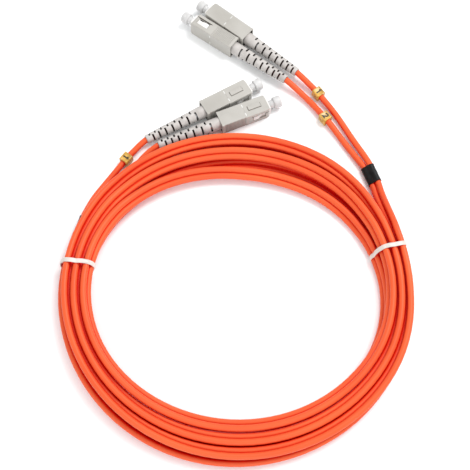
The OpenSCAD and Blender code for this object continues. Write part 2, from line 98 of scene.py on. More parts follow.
def noise(nodes, links, size, detail=3.0, stretch=(1, 1, 1), coords="Object"):
    """Noise with features of about that size in metres, longer where stretch is small."""
    place = nodes.new("ShaderNodeTexCoord")
    spread = nodes.new("ShaderNodeMapping")
    spread.inputs["Scale"].default_value = stretch
    cloud = nodes.new("ShaderNodeTexNoise")
    cloud.inputs["Scale"].default_value = 1 / size
    cloud.inputs["Detail"].default_value = detail
    links.new(place.outputs[coords], spread.inputs["Vector"])
    links.new(spread.outputs["Vector"], cloud.inputs["Vector"])
    return cloud.outputs["Fac"]


def ramp(nodes, links, source, stops):
    """A colour ramp over the middle of the noise, from (place, colour) stops."""
    node = nodes.new("ShaderNodeValToRGB")
    elements = node.color_ramp.elements
    while len(elements) < len(stops):
        elements.new(0.5)
    for element, (place, colour) in zip(elements, stops):
        element.position = place
        element.color = (*colour, 1)
    links.new(source, node.inputs["Fac"])
    return node.outputs["Color"]


def grey(value):
    return (value, value, value)


print("a 2 mm noise has the scale", round(1 / (2 * MM)))

# %% Plastic and metal
TONE_STOPS = 0.35, 0.65
GLOSS_STOPS = 0.3, 0.7
GLOSS_WANDER = 0.06
GRAIN_DEPTH = 0.05 * MM
DULL_SHINE = 0.2


def plastic(name, low, high, rough, patch=0.012, grain=0.0004, bump=0.15, coords="Object"):
    """Two close tones in slow patches, a roughness that wanders, and a fine grain."""
    material, nodes, links, shader = new_material(name)
    cloud = noise(nodes, links, patch, coords=coords)
    tone = ramp(nodes, links, cloud, list(zip(TONE_STOPS, (low, high))))
    links.new(tone, shader.inputs["Base Color"])
    levels = grey(rough - GLOSS_WANDER), grey(rough + GLOSS_WANDER)
    wander = ramp(nodes, links, cloud, list(zip(GLOSS_STOPS, levels)))
    links.new(wander, shader.inputs["Roughness"])
    relief = nodes.new("ShaderNodeBump")
    relief.inputs["Strength"].default_value = bump
    relief.inputs["Distance"].default_value = GRAIN_DEPTH
    links.new(noise(nodes, links, grain, detail=2.0, coords=coords), relief.inputs["Height"])
    links.new(relief.outputs["Normal"], shader.inputs["Normal"])
    return material, shader


def metal(name, low, high, rough):
    """The same, but as bare metal with smaller patches."""
    material, shader = plastic(name, low, high, rough, patch=0.003, grain=0.0002, bump=0.1)
    shader.inputs["Metallic"].default_value = 1.0
    return material


GRIP = plastic("grip_grey", (0.36, 0.345, 0.315), (0.41, 0.395, 0.365), 0.42)[0]
BOOT = plastic("boot_grey", (0.4, 0.375, 0.355), (0.5, 0.475, 0.455), 0.5, patch=0.004)[0]
MARK = plastic("mark_white", (0.56, 0.56, 0.54), (0.66, 0.66, 0.64), 0.4)[0]
HOUSING = plastic("frame_white", (0.66, 0.65, 0.63), (0.76, 0.75, 0.73), 0.3)[0]
CERAMIC = plastic("ferrule_white", (0.86, 0.86, 0.83), (0.93, 0.93, 0.91), 0.12, bump=0.02)[0]
AMBER = plastic("marker_amber", (0.38, 0.21, 0.03), (0.66, 0.4, 0.075), 0.3, patch=0.0025)[0]
INK = plastic("marker_ink", (0.02, 0.014, 0.006), (0.05, 0.035, 0.012), 0.45)[0]
# Painted shade: the cut walls of the grip's pocket, slits and key line, the frame's slits and the boot's
# slots take this dark finish in place of their shadow.
SHADE = plastic("painted_recess_shade", (0.03, 0.024, 0.02), (0.07, 0.055, 0.045), 0.6)[0]
SLEEVE, shrink_shader = plastic("sleeve_black", grey(0.003), grey(0.009), 0.5, patch=0.002, bump=0.3)
shrink_shader.inputs["Specular IOR Level"].default_value = DULL_SHINE
STRAP = plastic("tie_white", (0.54, 0.49, 0.45), (0.66, 0.61, 0.57), 0.38, patch=0.004)[0]
BUFFER = plastic("fibre_buffer", (0.76, 0.73, 0.62), (0.84, 0.82, 0.73), 0.4)[0]
PLATED = metal("plated_nickel", (0.58, 0.58, 0.56), (0.72, 0.72, 0.7), 0.28)
CRIMP = metal("crimp_satin", (0.6, 0.6, 0.61), (0.74, 0.74, 0.75), 0.38)
STEEL = metal("spring_steel", (0.5, 0.5, 0.5), (0.66, 0.66, 0.66), 0.25)
FLOOR = plastic("table_white", (0.915, 0.925, 0.93), (0.935, 0.945, 0.95), 0.8, patch=0.2, bump=0.0)[0]
print(len(bpy.data.materials), "materials so far, with the solids' own")

# %% [markdown]
# ## The orange jacket
# A jacket is drawn through a die, so its faint streaks run along the cord. They follow the cord's own map
# of metres, because noise in space would cut across the turns. Where two turns lie together the light
# goes from one to the other several times, and the gaps are a deep red rather than grey. Many more light
# bounces would also do that, but an occlusion node does it at once.

# %% Jacket
STREAK_SIZE, STREAK_STRETCH = 1.2 * MM, (1, 0.03, 1)
PATCH_SIZE, PATCH_STRETCH = 50 * MM, (0.3, 1, 1)
STREAK_SHARE = 0.35
JACKET_STOPS = 0.36, 0.64
GROOVE_REACH, GROOVE_STOPS, GROOVE_SAMPLES = 9 * MM, (0.32, 0.66), 12
STREAK_DEPTH, STREAK_RELIEF = 0.06 * MM, 0.25
STREAK_GLOSS = 0.34, 0.46


def jacket_material(name, low, high, deep):
    """Extruded jacket with streaks along it, and a painted deep-red shade in its grooves and gaps."""
    material, nodes, links, shader = new_material(name)
    streaks = noise(nodes, links, STREAK_SIZE, detail=3.0, stretch=STREAK_STRETCH, coords="UV")
    patches = noise(nodes, links, PATCH_SIZE, detail=2.0, stretch=PATCH_STRETCH, coords="UV")
    mixed = nodes.new("ShaderNodeMix")
    mixed.inputs["Factor"].default_value = STREAK_SHARE
    links.new(patches, mixed.inputs["A"])
    links.new(streaks, mixed.inputs["B"])
    tone = ramp(nodes, links, mixed.outputs["Result"], list(zip(JACKET_STOPS, (low, high))))
    # Painted shade: an occlusion node turns the base colour deep red where the jacket is hemmed in.
    groove = nodes.new("ShaderNodeAmbientOcclusion")
    groove.samples = GROOVE_SAMPLES
    groove.inputs["Distance"].default_value = GROOVE_REACH
    open_share = ramp(nodes, links, groove.outputs["AO"], list(zip(GROOVE_STOPS, (grey(0), grey(1)))))
    deepened = nodes.new("ShaderNodeMix")
    deepened.data_type = "RGBA"
    links.new(open_share, deepened.inputs["Factor"])
    deepened.inputs["A"].default_value = (*deep, 1)
    links.new(tone, deepened.inputs["B"])
    links.new(deepened.outputs["Result"], shader.inputs["Base Color"])
    gloss = ramp(nodes, links, streaks, list(zip(GLOSS_STOPS, map(grey, STREAK_GLOSS))))
    links.new(gloss, shader.inputs["Roughness"])
    relief = nodes.new("ShaderNodeBump")
    relief.inputs["Strength"].default_value = STREAK_RELIEF
    relief.inputs["Distance"].default_value = STREAK_DEPTH
    links.new(streaks, relief.inputs["Height"])
    links.new(relief.outputs["Normal"], shader.inputs["Normal"])
    shader.inputs["Specular IOR Level"].default_value = DULL_SHINE
    return material


# The third colour of each set is the painted shade of grooves and gaps.
ORANGE = (0.68, 0.082, 0.024), (0.76, 0.112, 0.032), (0.72, 0.002, 0.0002)
# The jacket inside the boot is painted dark: shade in the slots, and near the crimp the black of the
# shrink sleeve.
IN_BOOT_SHADE = (0.05, 0.008, 0.004), (0.1, 0.012, 0.006), (0.02, 0.002, 0.001)
JACKET = jacket_material("jacket_orange", *ORANGE)
JACKET_SHADED_IN_BOOT = jacket_material("jacket_in_boot_painted_shade", *IN_BOOT_SHADE)
print("jacket from", len(JACKET.node_tree.nodes), "nodes")

# %% [markdown]
# ## The milky cap
# A dust cap is soft clear plastic gone milky. Glass would be too clear and plain white too dead, so it
# scatters light just below its surface and lets a little through.

# %% Cap
def cap_material():
    material, shader = plastic("cap_milky", (0.57, 0.565, 0.56), (0.67, 0.665, 0.66), 0.36, bump=0.08)
    shader.inputs["Transmission Weight"].default_value = 0.2
    shader.inputs["IOR"].default_value = 1.45
    shader.inputs["Subsurface Weight"].default_value = 0.4
    shader.inputs["Subsurface Radius"].default_value = (0.002, 0.002, 0.002)
    shader.inputs["Subsurface Scale"].default_value = 1.0
    return material


CAP = cap_material()
print(len(bpy.data.materials), "materials in all, with the solids' own")

# %% [markdown]
# ## Making meshes
# Pieces are drawn in millimetres and turned into metres at the end, so every number below is a size that
# calipers would read. A cord is an outline carried along a line of frames, each with a point, a width and
# a height direction. A curve with a bevel is quicker, but then Blender picks the roll of the flat cord.

# %% Mesh from points
def unit(v):
    return v / np.linalg.norm(v)


def mesh_object(name, verts, faces, material):
    """A smooth-shaded mesh, linked into the scene with its material."""
    mesh = bpy.data.meshes.new(name)
    mesh.from_pydata([tuple(v) for v in verts], [], faces)
    mesh.update()
    mesh.polygons.foreach_set("use_smooth", [True] * len(mesh.polygons))
    piece = bpy.data.objects.new(name, mesh)
    bpy.context.scene.collection.objects.link(piece)
    if material:
        mesh.materials.append(material)
    return piece


def faced_outward(piece):
    """The piece with every face turned the right way round."""
    bm = bmesh.new()
    bm.from_mesh(piece.data)
    bmesh.ops.recalc_face_normals(bm, faces=bm.faces)
    bm.to_mesh(piece.data)
    bm.free()
    return piece


def lengths_along(points):
    """How far along the line each point is."""
    steps = np.linalg.norm(np.diff(np.array(points), axis=0), axis=1)
    return np.concatenate([[0], np.cumsum(steps)])


def circle(radius, sides):
    """Points round a circle, anticlockwise from the right."""
    turns = [2 * math.pi * k / sides for k in range(sides)]
    return [(radius * math.cos(t), radius * math.sin(t)) for t in turns]


print("half of a ring of radius 1 measures", round(lengths_along(circle(1, 24)[:13])[-1], 2))


# %% Tube along a line
def tube(name, frames, outline, material, creases=()):
    """An outline in millimetres carried along frames (point, width, height), with closed ends.
    Its map has metres round the outline in u and metres along the line in v."""
    verts = [p + q[0] * w + q[1] * h for p, w, h in frames for q in outline]
    n, rows = len(outline), len(frames)
    faces = [
        (i * n + k, i * n + (k + 1) % n, (i + 1) * n + (k + 1) % n, (i + 1) * n + k)
        for i in range(rows - 1) for k in range(n)
    ]
    faces += [tuple(range(n - 1, -1, -1)), tuple((rows - 1) * n + k for k in range(n))]
    piece = mesh_object(name, np.array(verts) * MM, faces, material)
    along = lengths_along([f[0] for f in frames]) * MM
    around = lengths_along([*outline, outline[0]]) * MM
    layer = piece.data.uv_layers.new(name="metres")
    for polygon in piece.data.polygons[: (rows - 1) * n]:
        i, k = divmod(polygon.index, n)
        corners = [(k, i), (k + 1, i), (k + 1, i + 1), (k, i + 1)]
        for loop, (u, v) in zip(polygon.loop_indices, corners):
            layer.data[loop].uv = (around[u], along[v])
    if creases:
        for edge in piece.data.edges:
            a, b = sorted(edge.vertices)
            if b - a == n and a % n in creases:
                edge.use_edge_sharp = True
    return piece


def smooth_rows(keys, step):
    """Rows of numbers on a smooth curve through the key rows. The first three are a point, and a new
    row comes about every step millimetres."""
    keys = np.array(keys, float)
    t = lengths_along(keys[:, :3])
    gaps = np.diff(t)
    slope = np.gradient(keys, t, axis=0)
    slope[1:-1] = (keys[2:] - keys[:-2]) / (t[2:] - t[:-2])[:, None]
    slope[0] = (keys[1] - keys[0]) / gaps[0]
    slope[-1] = (keys[-1] - keys[-2]) / gaps[-1]
    rows = []
    for i, gap in enumerate(gaps):
        count = max(1, round(gap / step))
        for s in np.arange(count) / count:
            a, b = 2 * s**3 - 3 * s**2 + 1, s**3 - 2 * s**2 + s
            c, d = 3 * s**2 - 2 * s**3, s**3 - s**2
            rows.append(a * keys[i] + b * gap * slope[i] + c * keys[i + 1] + d * gap * slope[i + 1])
    return np.array(rows + [keys[-1]])


trial = smooth_rows([(0, 0, 0), (5, 2, 0), (10, 0, 0)], 1)
print("three keys 10 mm apart end to end give", len(trial), "points")

# %% [markdown]
# ## The zipcord and its coil
# Two round jackets with a thin web between them, wound inwards on the lower layer and out again on the
# upper one. The turns could be drawn one by one, but a formula keeps them even and clear of each other.
# It is the same formula as the solid's, with four times as many rings, so the finer cord lies where the
# solid lies.

# %% Cord sizes
# LOBE is from the flat cord's middle to either jacket's. PITCH is the step from turn to turn, ROLL how
# far the flat cord stands up on its edge, and DROP how far the lower layer lies towards the near side.
JACKET_D = 3.0
LOBE = 1.55
WEB = 0.5
COIL_CENTRE = np.array([6.8, -114.4])
COIL_HALF_W, COIL_HALF_L = 72.6, 69.8
COIL_START, COIL_TURNS, RISE_TURNS = 155, 5.625, 0.5
RINGS_PER_TURN = 96
PITCH = dict(side=4.7, right=3.6, left=4.1, far=7.8, near=5.9)
ROLL = dict(side=50, right=71, left=60, far=22, near=30)
DROP_FAR, DROP_NEAR = 3.6, 2.0
FAR_PEAK, RIGHT_PEAK, LEFT_PEAK = 83, 15, 205
DRAW_IN, DRAW_OVER = 1.7, 45
LAYER_GAP = 0.5
TIE_T, TIE_W, TIE_GAP = 0.5, 2.0, 0.1
TIE_AT = dict(left=173, right=13)
TIE_LIFT, LIFT_RAMP = dict(left=(-8, 28), right=(0, 18)), 8
SLEEVE_L, SLEEVE_WALL = 9.3, 0.3
SLEEVE_A_MID = np.array([71.1, -57.3, 2.625])
SLEEVE_A_NORMAL, SLEEVE_A_ROLL = 20, 30
TAIL = [((77.3, -82.4, 8.1), 20, 48), ((75.5, -75.2, 5.9), 19, 40), ((74, -68, 3.4), 19, 33)]
UP = np.array([0.0, 0.0, 1.0])
print("flat cord", 2 * LOBE + JACKET_D, "by", JACKET_D, "mm,", COIL_TURNS, "turns")


# %% Angles
def sin(a):
    return math.sin(math.radians(a))


def cos(a):
    return math.cos(math.radians(a))


def heading(a):
    """The flat direction at that many degrees from x."""
    return np.array([cos(a), sin(a), 0.0])


def ease(t):
    """0 below 0, 1 above 1, and soft at both ends between."""
    c = min(max(t, 0), 1)
    return c * c * (3 - 2 * c)


def turn_gap(a, b):
    """How many degrees apart two directions are."""
    d = abs(a - b) % 360
    return min(d, 360 - d)


print("from 350 to 20 degrees is", turn_gap(350, 20), "degrees")


# %% Coil route
def round_blend(a, values):
    """A value that is one thing at the coil's sides and others at its tight stretches and its ends."""
    right = max(0, cos(a - RIGHT_PEAK)) ** 4
    left = max(0, cos(a - LEFT_PEAK)) ** 4
    far = max(0, sin(a - FAR_PEAK + 90)) ** 2
    near = max(0, -sin(a)) ** 2
    side = values["side"]
    return (side + (values["right"] - side) * right + (values["left"] - side) * left
            + (values["far"] - side) * far + (values["near"] - side) * near)


def coil_point(turns):
    """Where the cord's middle is after that many turns: first the lower layer, then the upper one.
    It is lifted a little where a tie's strap lies under it."""
    a, half = COIL_START + 360 * turns, COIL_TURNS / 2
    up = ease((turns - half) / RISE_TURNS + 0.5)
    offset = round_blend(a, PITCH) * (abs(turns - half) - half / 2)
    offset -= DRAW_IN * ease(1 - turn_gap(a, RIGHT_PEAK) / DRAW_OVER)
    rest = JACKET_D / 2 + LOBE * sin(round_blend(a, ROLL))
    drop = DROP_NEAR + (DROP_FAR - DROP_NEAR) * (1 + sin(a)) / 2
    lift = (TIE_T + TIE_GAP) * max(
        ease((reach - turn_gap(a, TIE_AT[side] + ahead)) / LIFT_RAMP)
        for side, (ahead, reach) in TIE_LIFT.items()
    )
    return np.array([
        COIL_CENTRE[0] + (COIL_HALF_W + offset) * cos(a),
        COIL_CENTRE[1] + (COIL_HALF_L + offset) * sin(a) - drop * (1 - up),
        rest + up * (2 * rest + LAYER_GAP) + lift,
    ])


def frame_row(point, normal, roll):
    """A point with the direction of the cord's width there, as one row of six numbers."""
    return np.concatenate([point, heading(normal) * cos(roll) + UP * sin(roll)])


def coil_row(turns):
    """The coil's point after that many turns, with its width direction."""
    a = COIL_START + 360 * turns
    return frame_row(coil_point(turns), a, round_blend(a, ROLL))


coil_top = max(coil_point(turns)[2] for turns in np.arange(0, COIL_TURNS, 0.1))
print("the middle of the top turn is", round(coil_top, 1), "mm up")

# %% Start and tail of the coil
SOLID_RINGS = 24
END_STEP = 2.5
first_run = coil_point(1 / SOLID_RINGS) - coil_point(0)
SLEEVE_B_NORMAL = math.degrees(math.atan2(first_run[1], first_run[0])) - 90
SLEEVE_B_ROLL = round_blend(COIL_START + 360 / SOLID_RINGS, ROLL)
SLEEVE_B = frame_row(coil_point(0), SLEEVE_B_NORMAL, SLEEVE_B_ROLL)
SLEEVE_A = frame_row(SLEEVE_A_MID, SLEEVE_A_NORMAL, SLEEVE_A_ROLL)
WAY = dict(a=heading(SLEEVE_A_NORMAL + 90), b=heading(SLEEVE_B_NORMAL - 90))


def shifted(row, step):
    """The row with only its point moved."""
    return np.concatenate([row[:3] + step, row[3:]])


def coil_rows():
    """The start in its sleeve, the turns, and the tail down to the other sleeve."""
    count = round(COIL_TURNS * RINGS_PER_TURN)
    first = RINGS_PER_TURN // SOLID_RINGS
    turns = [coil_row(i / RINGS_PER_TURN) for i in range(first, count + 1)]
    start = [SLEEVE_B, shifted(SLEEVE_B, -WAY["b"] * SLEEVE_L / 2)] + turns[:3]
    tail = [coil_row((count - first * k) / RINGS_PER_TURN) for k in (1, 0)]
    tail += [frame_row(np.array(p), normal, roll) for p, normal, roll in TAIL]
    tail += [shifted(SLEEVE_A, -WAY["a"] * SLEEVE_L / 2), SLEEVE_A]
    started, tailed = smooth_rows(start, END_STEP), smooth_rows(tail, END_STEP)
    begin = next(i for i, row in enumerate(started) if np.allclose(row, turns[0]))
    leave = next(i for i, row in enumerate(tailed) if np.allclose(row, turns[-1]))
    return list(started[:begin]) + turns + list(tailed[leave + 1:])


def frames_of(rows):
    """Frames square to the line, which keep each row's width direction."""
    points = np.array([row[:3] for row in rows])
    ways = np.gradient(points, axis=0)
    frames = []
    for row, way in zip(rows, ways):
        way = unit(way)
        width = unit(row[3:] - (row[3:] @ way) * way)
        frames.append((row[:3], width, np.cross(width, way)))
    return frames


COIL_FRAMES = frames_of(coil_rows())
print(len(COIL_FRAMES), "frames from sleeve to sleeve")


# %% Zipcord section and coil
def zip_outline(arc_points=13):
    """Two round lobes that meet in a thin web, as points round the section. Also says which
    points lie on the crease beside the web."""
    radius = JACKET_D / 2
    meet = math.asin(WEB / 2 / radius)
    arc = np.linspace(-math.pi + meet, math.pi - meet, arc_points)
    right = [(LOBE + radius * math.cos(t), radius * math.sin(t)) for t in arc]
    left = [(-x, -y) for x, y in right]
    return right + left, (0, arc_points - 1, arc_points, 2 * arc_points - 1)


def length_of(points):
    """How long the line through the points is."""
    return float(lengths_along(points)[-1])


ZIP, ZIP_CREASES = zip_outline()
coil = tube("cord_coil_jacket", COIL_FRAMES, ZIP, JACKET, ZIP_CREASES)
coil_line = [f[0] * MM for f in COIL_FRAMES]
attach(coil, "cord")
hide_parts("cord_coil")
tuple(coil_line[0])
length_of(coil_line)
print("coil", len(coil.data.polygons), "faces,", round(length_of(coil_line), 3), "m")

# %% [markdown]
# ## The four plugs' places and the legs
# Each plug's mount in the record gives the centre of its front and the way it points. Only the roll is
# added here: one plug lies on its key, one on its side, and two have the key up. A leg runs from the
# crimp in its boot, through points chosen to follow the free cord, to the sleeve where the pair joins.
# A curve object would need the same points, and its small kinks would have to be eased by hand.

# %% Plug places
ENDS = ("a1", "a2", "b1", "b2")
ROLLS = dict(a1=180, a2=90, b1=0, b2=0)
MOUNTS = {mount["name"]: mount for mount in frame["record"]["mounts"]}


def plug_matrix(end):
    """From a plug's own millimetres, where x is 0 at its front and grows outwards, to the scene."""
    mount = MOUNTS["plug_" + end]
    ahead = mount["axis"]
    turn = Matrix.Rotation(math.atan2(ahead[1], ahead[0]), 4, "Z")
    roll = Matrix.Rotation(math.radians(ROLLS[end]), 4, "X")
    return Matrix.Translation(mount["pos_m"]) @ turn @ roll @ Matrix.Scale(MM, 4)


def plug_point(end, x):
    """The point at x on a plug's axis, in the scene's millimetres."""
    return np.array(plug_matrix(end) @ Vector((x, 0, 0))) / MM


for end in ENDS:
    print("front of plug", end, "at", plug_point(end, 0).round(1), "mm")

# %% Leg routes
GRIP_L, BOOT_L, BOOT_REAR = 25.2, 32.0, -57.2
JACKET_FRONT, CRIMP_REAR = -29.0, -32.6
STRAIGHT_TAIL, PAST_SLEEVE = 5, 0.6
ROUTES = {
    "a1": [(45.4, -8.8, 2.6), (49.4, -14.2, 2.4), (53.4, -19.6, 1.8), (57.4, -26, 1.5),
           (61.2, -33.2, 1.5), (64.9, -40.2, 1.8), (68.2, -46.4, 2.7)],
    "a2": [(37.8, -10.3, 2.8), (43.3, -16, 1.9), (48.2, -22.6, 2.4), (52.4, -28.4, 2.4),
           (56.5, -34.6, 1.6), (60.6, -41.2, 1.5), (64.6, -47.4, 1.6)],
    "b1": [(-44.4, -45.8, 2.6), (-48.6, -51.4, 2.4), (-52.8, -57.2, 1.8), (-57, -63.2, 1.7),
           (-60.7, -69.4, 2.6)],
    "b2": [(-38.1, -47.2, 2.6), (-42, -52.8, 2.4), (-46.4, -59, 2.4), (-51.9, -65.9, 1.6),
           (-57.4, -72.7, 1.6)],
}
MARKER_STEP = dict(a1=0, a2=2, b1=0, b2=1)
SLIDE_GAP = 0.05


def leg_root(end):
    """Where a leg ends, inside the sleeve and beside its twin."""
    row = SLEEVE_A if end[0] == "a" else SLEEVE_B
    side = 1 if end[1] == "1" else -1
    return row[:3] + side * LOBE * row[3:] + SLIDE_GAP * WAY[end[0]]


def leg_points(end):
    """The leg's key points from its crimp to its root."""
    root, way = leg_root(end), WAY[end[0]]
    plug = [plug_point(end, x) for x in (JACKET_FRONT, BOOT_REAR + STRAIGHT_TAIL, BOOT_REAR)]
    return plug + [np.array(p) for p in ROUTES[end]] + [root + PAST_SLEEVE * SLEEVE_L * way, root]


def leg_frames(line):
    """Frames along a round leg. Its width stays level, so nothing twists."""
    ways = np.gradient(line, axis=0)
    frames = []
    for point, way in zip(line, ways):
        width = unit(np.cross(UP, way))
        frames.append((point, width, unit(np.cross(width, way))))
    return frames


def marker_ends(end):
    """The two points of the route that the leg's marker sits between."""
    first = MARKER_STEP[end]
    return [np.array(p, float) for p in ROUTES[end][first:first + 2]]


def marker_middle(end):
    return sum(marker_ends(end)) / 2


print("leg a1 has", len(leg_points("a1")), "key points")

# %% Legs
LEG_SIDES, LEG_STEP = 24, 1.5
CALM_PASSES, HOLD_NEAR, HOLD_SLEEVE = 8, 4.5, 0.8
BOOT_LIP = 1


def calmed(line, end):
    """The line with its small kinks eased out, but held in the boot, the marker and the sleeve."""
    held = [marker_middle(end), plug_point(end, BOOT_REAR), leg_root(end)]
    reaches = HOLD_NEAR, HOLD_NEAR, SLEEVE_L * HOLD_SLEEVE
    inside = np.linalg.norm(line - line[0], axis=1) < BOOT_L
    near = [np.linalg.norm(line - point, axis=1) < reach for point, reach in zip(held, reaches)]
    free = ~(inside | np.any(near, axis=0))
    free[[0, -1]] = False
    for _ in range(CALM_PASSES):
        eased = line.copy()
        eased[1:-1] = (line[:-2] + 2 * line[1:-1] + line[2:]) / 4
        line = np.where(free[:, None], eased, line)
    return line


def shade_in_boot(leg, line, boot_end):
    """The stretch under the boot's slots gets a dark finish: painted shade for the deep slots, and near
    the crimp the black of the shrink sleeve.
    """
    leg.data.materials.append(JACKET_SHADED_IN_BOOT)
    reach = np.linalg.norm(boot_end - line[0]) - BOOT_LIP
    for polygon in leg.data.polygons:
        row = min(polygon.index // LEG_SIDES, len(line) - 1)
        if np.linalg.norm(line[row] - line[0]) < reach:
            polygon.material_index = 1


for end in ENDS:
    line = calmed(smooth_rows(leg_points(end), LEG_STEP), end)
    leg = tube("leg_jacket_" + end, leg_frames(line), circle(JACKET_D / 2, LEG_SIDES), JACKET)
    shade_in_boot(leg, line, plug_point(end, BOOT_REAR))
    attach(leg, "cord")
    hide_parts("leg_" + end)
    plug_point(end, BOOT_REAR) * MM
    length_of(line) * MM
    print("leg", end, round(length_of(line), 1), "mm")

# %% [markdown]
# ## Tools for moulded pieces
# Nothing moulded has a sharp edge. A block gets soft edges from a bevel. A turned piece is spun from an
# outline whose corners can be rounded first. Cuts are exact booleans, applied at once, so every piece
# ends as plain mesh. Modelling by hand would give fewer faces, but would not follow a changed size.

# %% Blocks
def finished(piece):
    """The piece's mesh with its modifiers applied, and the piece itself removed."""
    seen = piece.evaluated_get(bpy.context.evaluated_depsgraph_get())
    mesh = bpy.data.meshes.new_from_object(seen)
    bpy.data.objects.remove(piece)
    return mesh


def loose_object(name, mesh, material=None):
    """An object of that mesh, linked into the scene."""
    if material and not mesh.materials:
        mesh.materials.append(material)
    piece = bpy.data.objects.new(name, mesh)
    bpy.context.scene.collection.objects.link(piece)
    return piece


def block(front, rear, w, h, y=0.0, z=0.0, soft=0.0, steps=2, only=None, material=None):
    """A box from front to rear along x. Its edges, or those along one axis, are rounded by soft."""
    bm = bmesh.new()
    size = Matrix.Diagonal((front - rear, w, h, 1))
    bmesh.ops.create_cube(bm, size=1, matrix=Matrix.Translation(((front + rear) / 2, y, z)) @ size)
    if soft:
        edges = bm.edges
        if only:
            way = Vector([axis == only for axis in "xyz"])
            edges = [e for e in bm.edges
                     if abs((e.verts[1].co - e.verts[0].co).normalized().dot(way)) > 0.9]
        bmesh.ops.bevel(bm, geom=list(edges), offset=soft, segments=steps, profile=0.5, affect="EDGES")
    mesh = bpy.data.meshes.new("block")
    bm.to_mesh(mesh)
    bm.free()
    return loose_object("block", mesh, material)


trial_mesh = finished(block(0, -10, 5, 5, soft=1))
print("a block with soft edges has", len(trial_mesh.polygons), "faces")
bpy.data.meshes.remove(trial_mesh)


# %% Turned pieces
def rounded(outline, radius, steps=4):
    """The outline with each inner corner rounded by its own radius, or by the one given."""
    points = [np.array(p[:2], float) for p in outline]
    result = [points[0]]
    for i in range(1, len(points) - 1):
        r = outline[i][2] if len(outline[i]) > 2 else radius
        a, b = unit(points[i - 1] - points[i]), unit(points[i + 1] - points[i])
        if r <= 0:
            result.append(points[i])
            continue
        for s in np.linspace(0, 1, steps + 1):
            result.append((1 - s) ** 2 * (points[i] + r * a) + 2 * s * (1 - s) * points[i]
                          + s**2 * (points[i] + r * b))
    return result + [points[-1]]


def turned(outline, sides=48, material=None):
    """An outline of (x, radius) spun about the plug's axis. Points on the axis close its ends."""
    verts, rows = [], []
    for x, r in outline:
        if r < 1e-6:
            rows.append([len(verts)] * sides)
            verts.append((x, 0, 0))
        else:
            rows.append(list(range(len(verts), len(verts) + sides)))
            verts += [(x, y, z) for y, z in circle(r, sides)]
    faces = []
    for low, high in zip(rows, rows[1:] + rows[:1]):
        for k in range(sides):
            corners = [low[k], low[(k + 1) % sides], high[(k + 1) % sides], high[k]]
            corners = [c for i, c in enumerate(corners) if c not in corners[:i]]
            if len(corners) > 2:
                faces.append(corners)
    return faced_outward(mesh_object("turned", verts, faces, material))


print("a corner rounded by 1 mm becomes", len(rounded([(0, 0), (5, 0), (5, 5)], 1)) - 2, "points")


# %% Cuts and bevels
def joined(pieces):
    """One mesh object out of several, each with its own materials."""
    with bpy.context.temp_override(active_object=pieces[0], selected_editable_objects=pieces,
                                   selected_objects=pieces, object=pieces[0]):
        bpy.ops.object.join()
    return pieces[0]


def carved(body, cutters, operation="DIFFERENCE"):
    """body with the cutters taken away from it, or added to it."""
    tool = joined(cutters) if len(cutters) > 1 else cutters[0]
    cut = body.modifiers.new("cut", "BOOLEAN")
    cut.operation, cut.solver, cut.object = operation, "EXACT", tool
    cut.use_self = True
    cut.material_mode = "TRANSFER"
    mesh = finished(body)
    bpy.data.objects.remove(tool)
    return loose_object("carved", mesh)


BEVEL_FROM, BEVEL_SEGMENTS = 30, 2


def softened(piece, width):
    """The piece with a fine bevel on its sharp edges."""
    bevel = piece.modifiers.new("bevel", "BEVEL")
    bevel.width, bevel.segments = width, BEVEL_SEGMENTS
    bevel.limit_method, bevel.angle_limit = "ANGLE", math.radians(BEVEL_FROM)
    bevel.harden_normals = False
    return loose_object("softened", finished(piece))


print("edges sharper than", BEVEL_FROM, "degrees get a bevel")


# %% Shading and placing
def shade(mesh, angle=35):
    """Smooth shading, but edges stay sharp where faces meet at more than the angle."""
    bm = bmesh.new()
    bm.from_mesh(mesh)
    limit = math.radians(angle)
    for face in bm.faces:
        face.smooth = True
    for edge in bm.edges:
        edge.smooth = len(edge.link_faces) == 2 and edge.calc_face_angle(0) < limit
    bm.to_mesh(mesh)
    bm.free()
    return mesh


def even_normals(mesh):
    """Normals weighed by area, so large faces look flat right up to their fine bevels."""
    piece = loose_object("even", mesh)
    piece.modifiers.new("normals", "WEIGHTED_NORMAL").keep_sharp = True
    return finished(piece)


def placed(name, mesh, end, body, node):
    """A copy of a plug's mesh at one end of the cord, riding on its body in place of its solid."""
    own = mesh.copy()
    own.transform(plug_matrix(end))
    piece = bpy.data.objects.new(name + "_" + end, own)
    bpy.context.scene.collection.objects.link(piece)
    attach(piece, body)
    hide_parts(node + "_" + end)
    return piece


print("each plug piece is made once and placed", len(ENDS), "times")

# %% [markdown]
# ## The grip
# The grey outer shell slides on the plug's frame. One wide face has the key, both have two white moulded
# dashes, and each narrow face has a latch window and a ribbed waist. The rear is a pocket round the boot.
# It is cut from one soft block, as its mould is. The waist's ribs could be a bump, but they show against
# the light at the edge, so they are real shape.

# %% Grip sizes
GRIP_W, GRIP_H = 9.0, 7.4
KEY_L, KEY_W, KEY_H, KEY_FROM, KEY_LINE = 6.5, 2.3, 0.5, 3.5, 0.2
WINDOW_L, WINDOW_H, WINDOW_FROM = 6.9, 3.5, 2.0
SLIT_FROM, SLIT_L = 0.7, 9.2
WAIST_L, WAIST_T, WAIST_FROM, RIB_N = 11.0, 0.4, 12.8, 14
FRAME_W, FRAME_H, FRAME_OUT = 7.0, 5.6, 0.8
BOOT_D, BOOT_TAIL_D = 6.5, 4.4
LOOSE_GAP = 0.1
print("a grip is", GRIP_L, "by", GRIP_W, "by", GRIP_H, "mm")

# %% Outer block and waist
# OVER is how far a cutter reaches past what it cuts.
OVER = 1
GRIP_SOFT, NOSE_SOFT, WAIST_SOFT = 0.5, 1.3, 0.2
RIB_MARGIN, RIB_HALF, RIB_DEPTH = 0.5, 0.25, 1.5


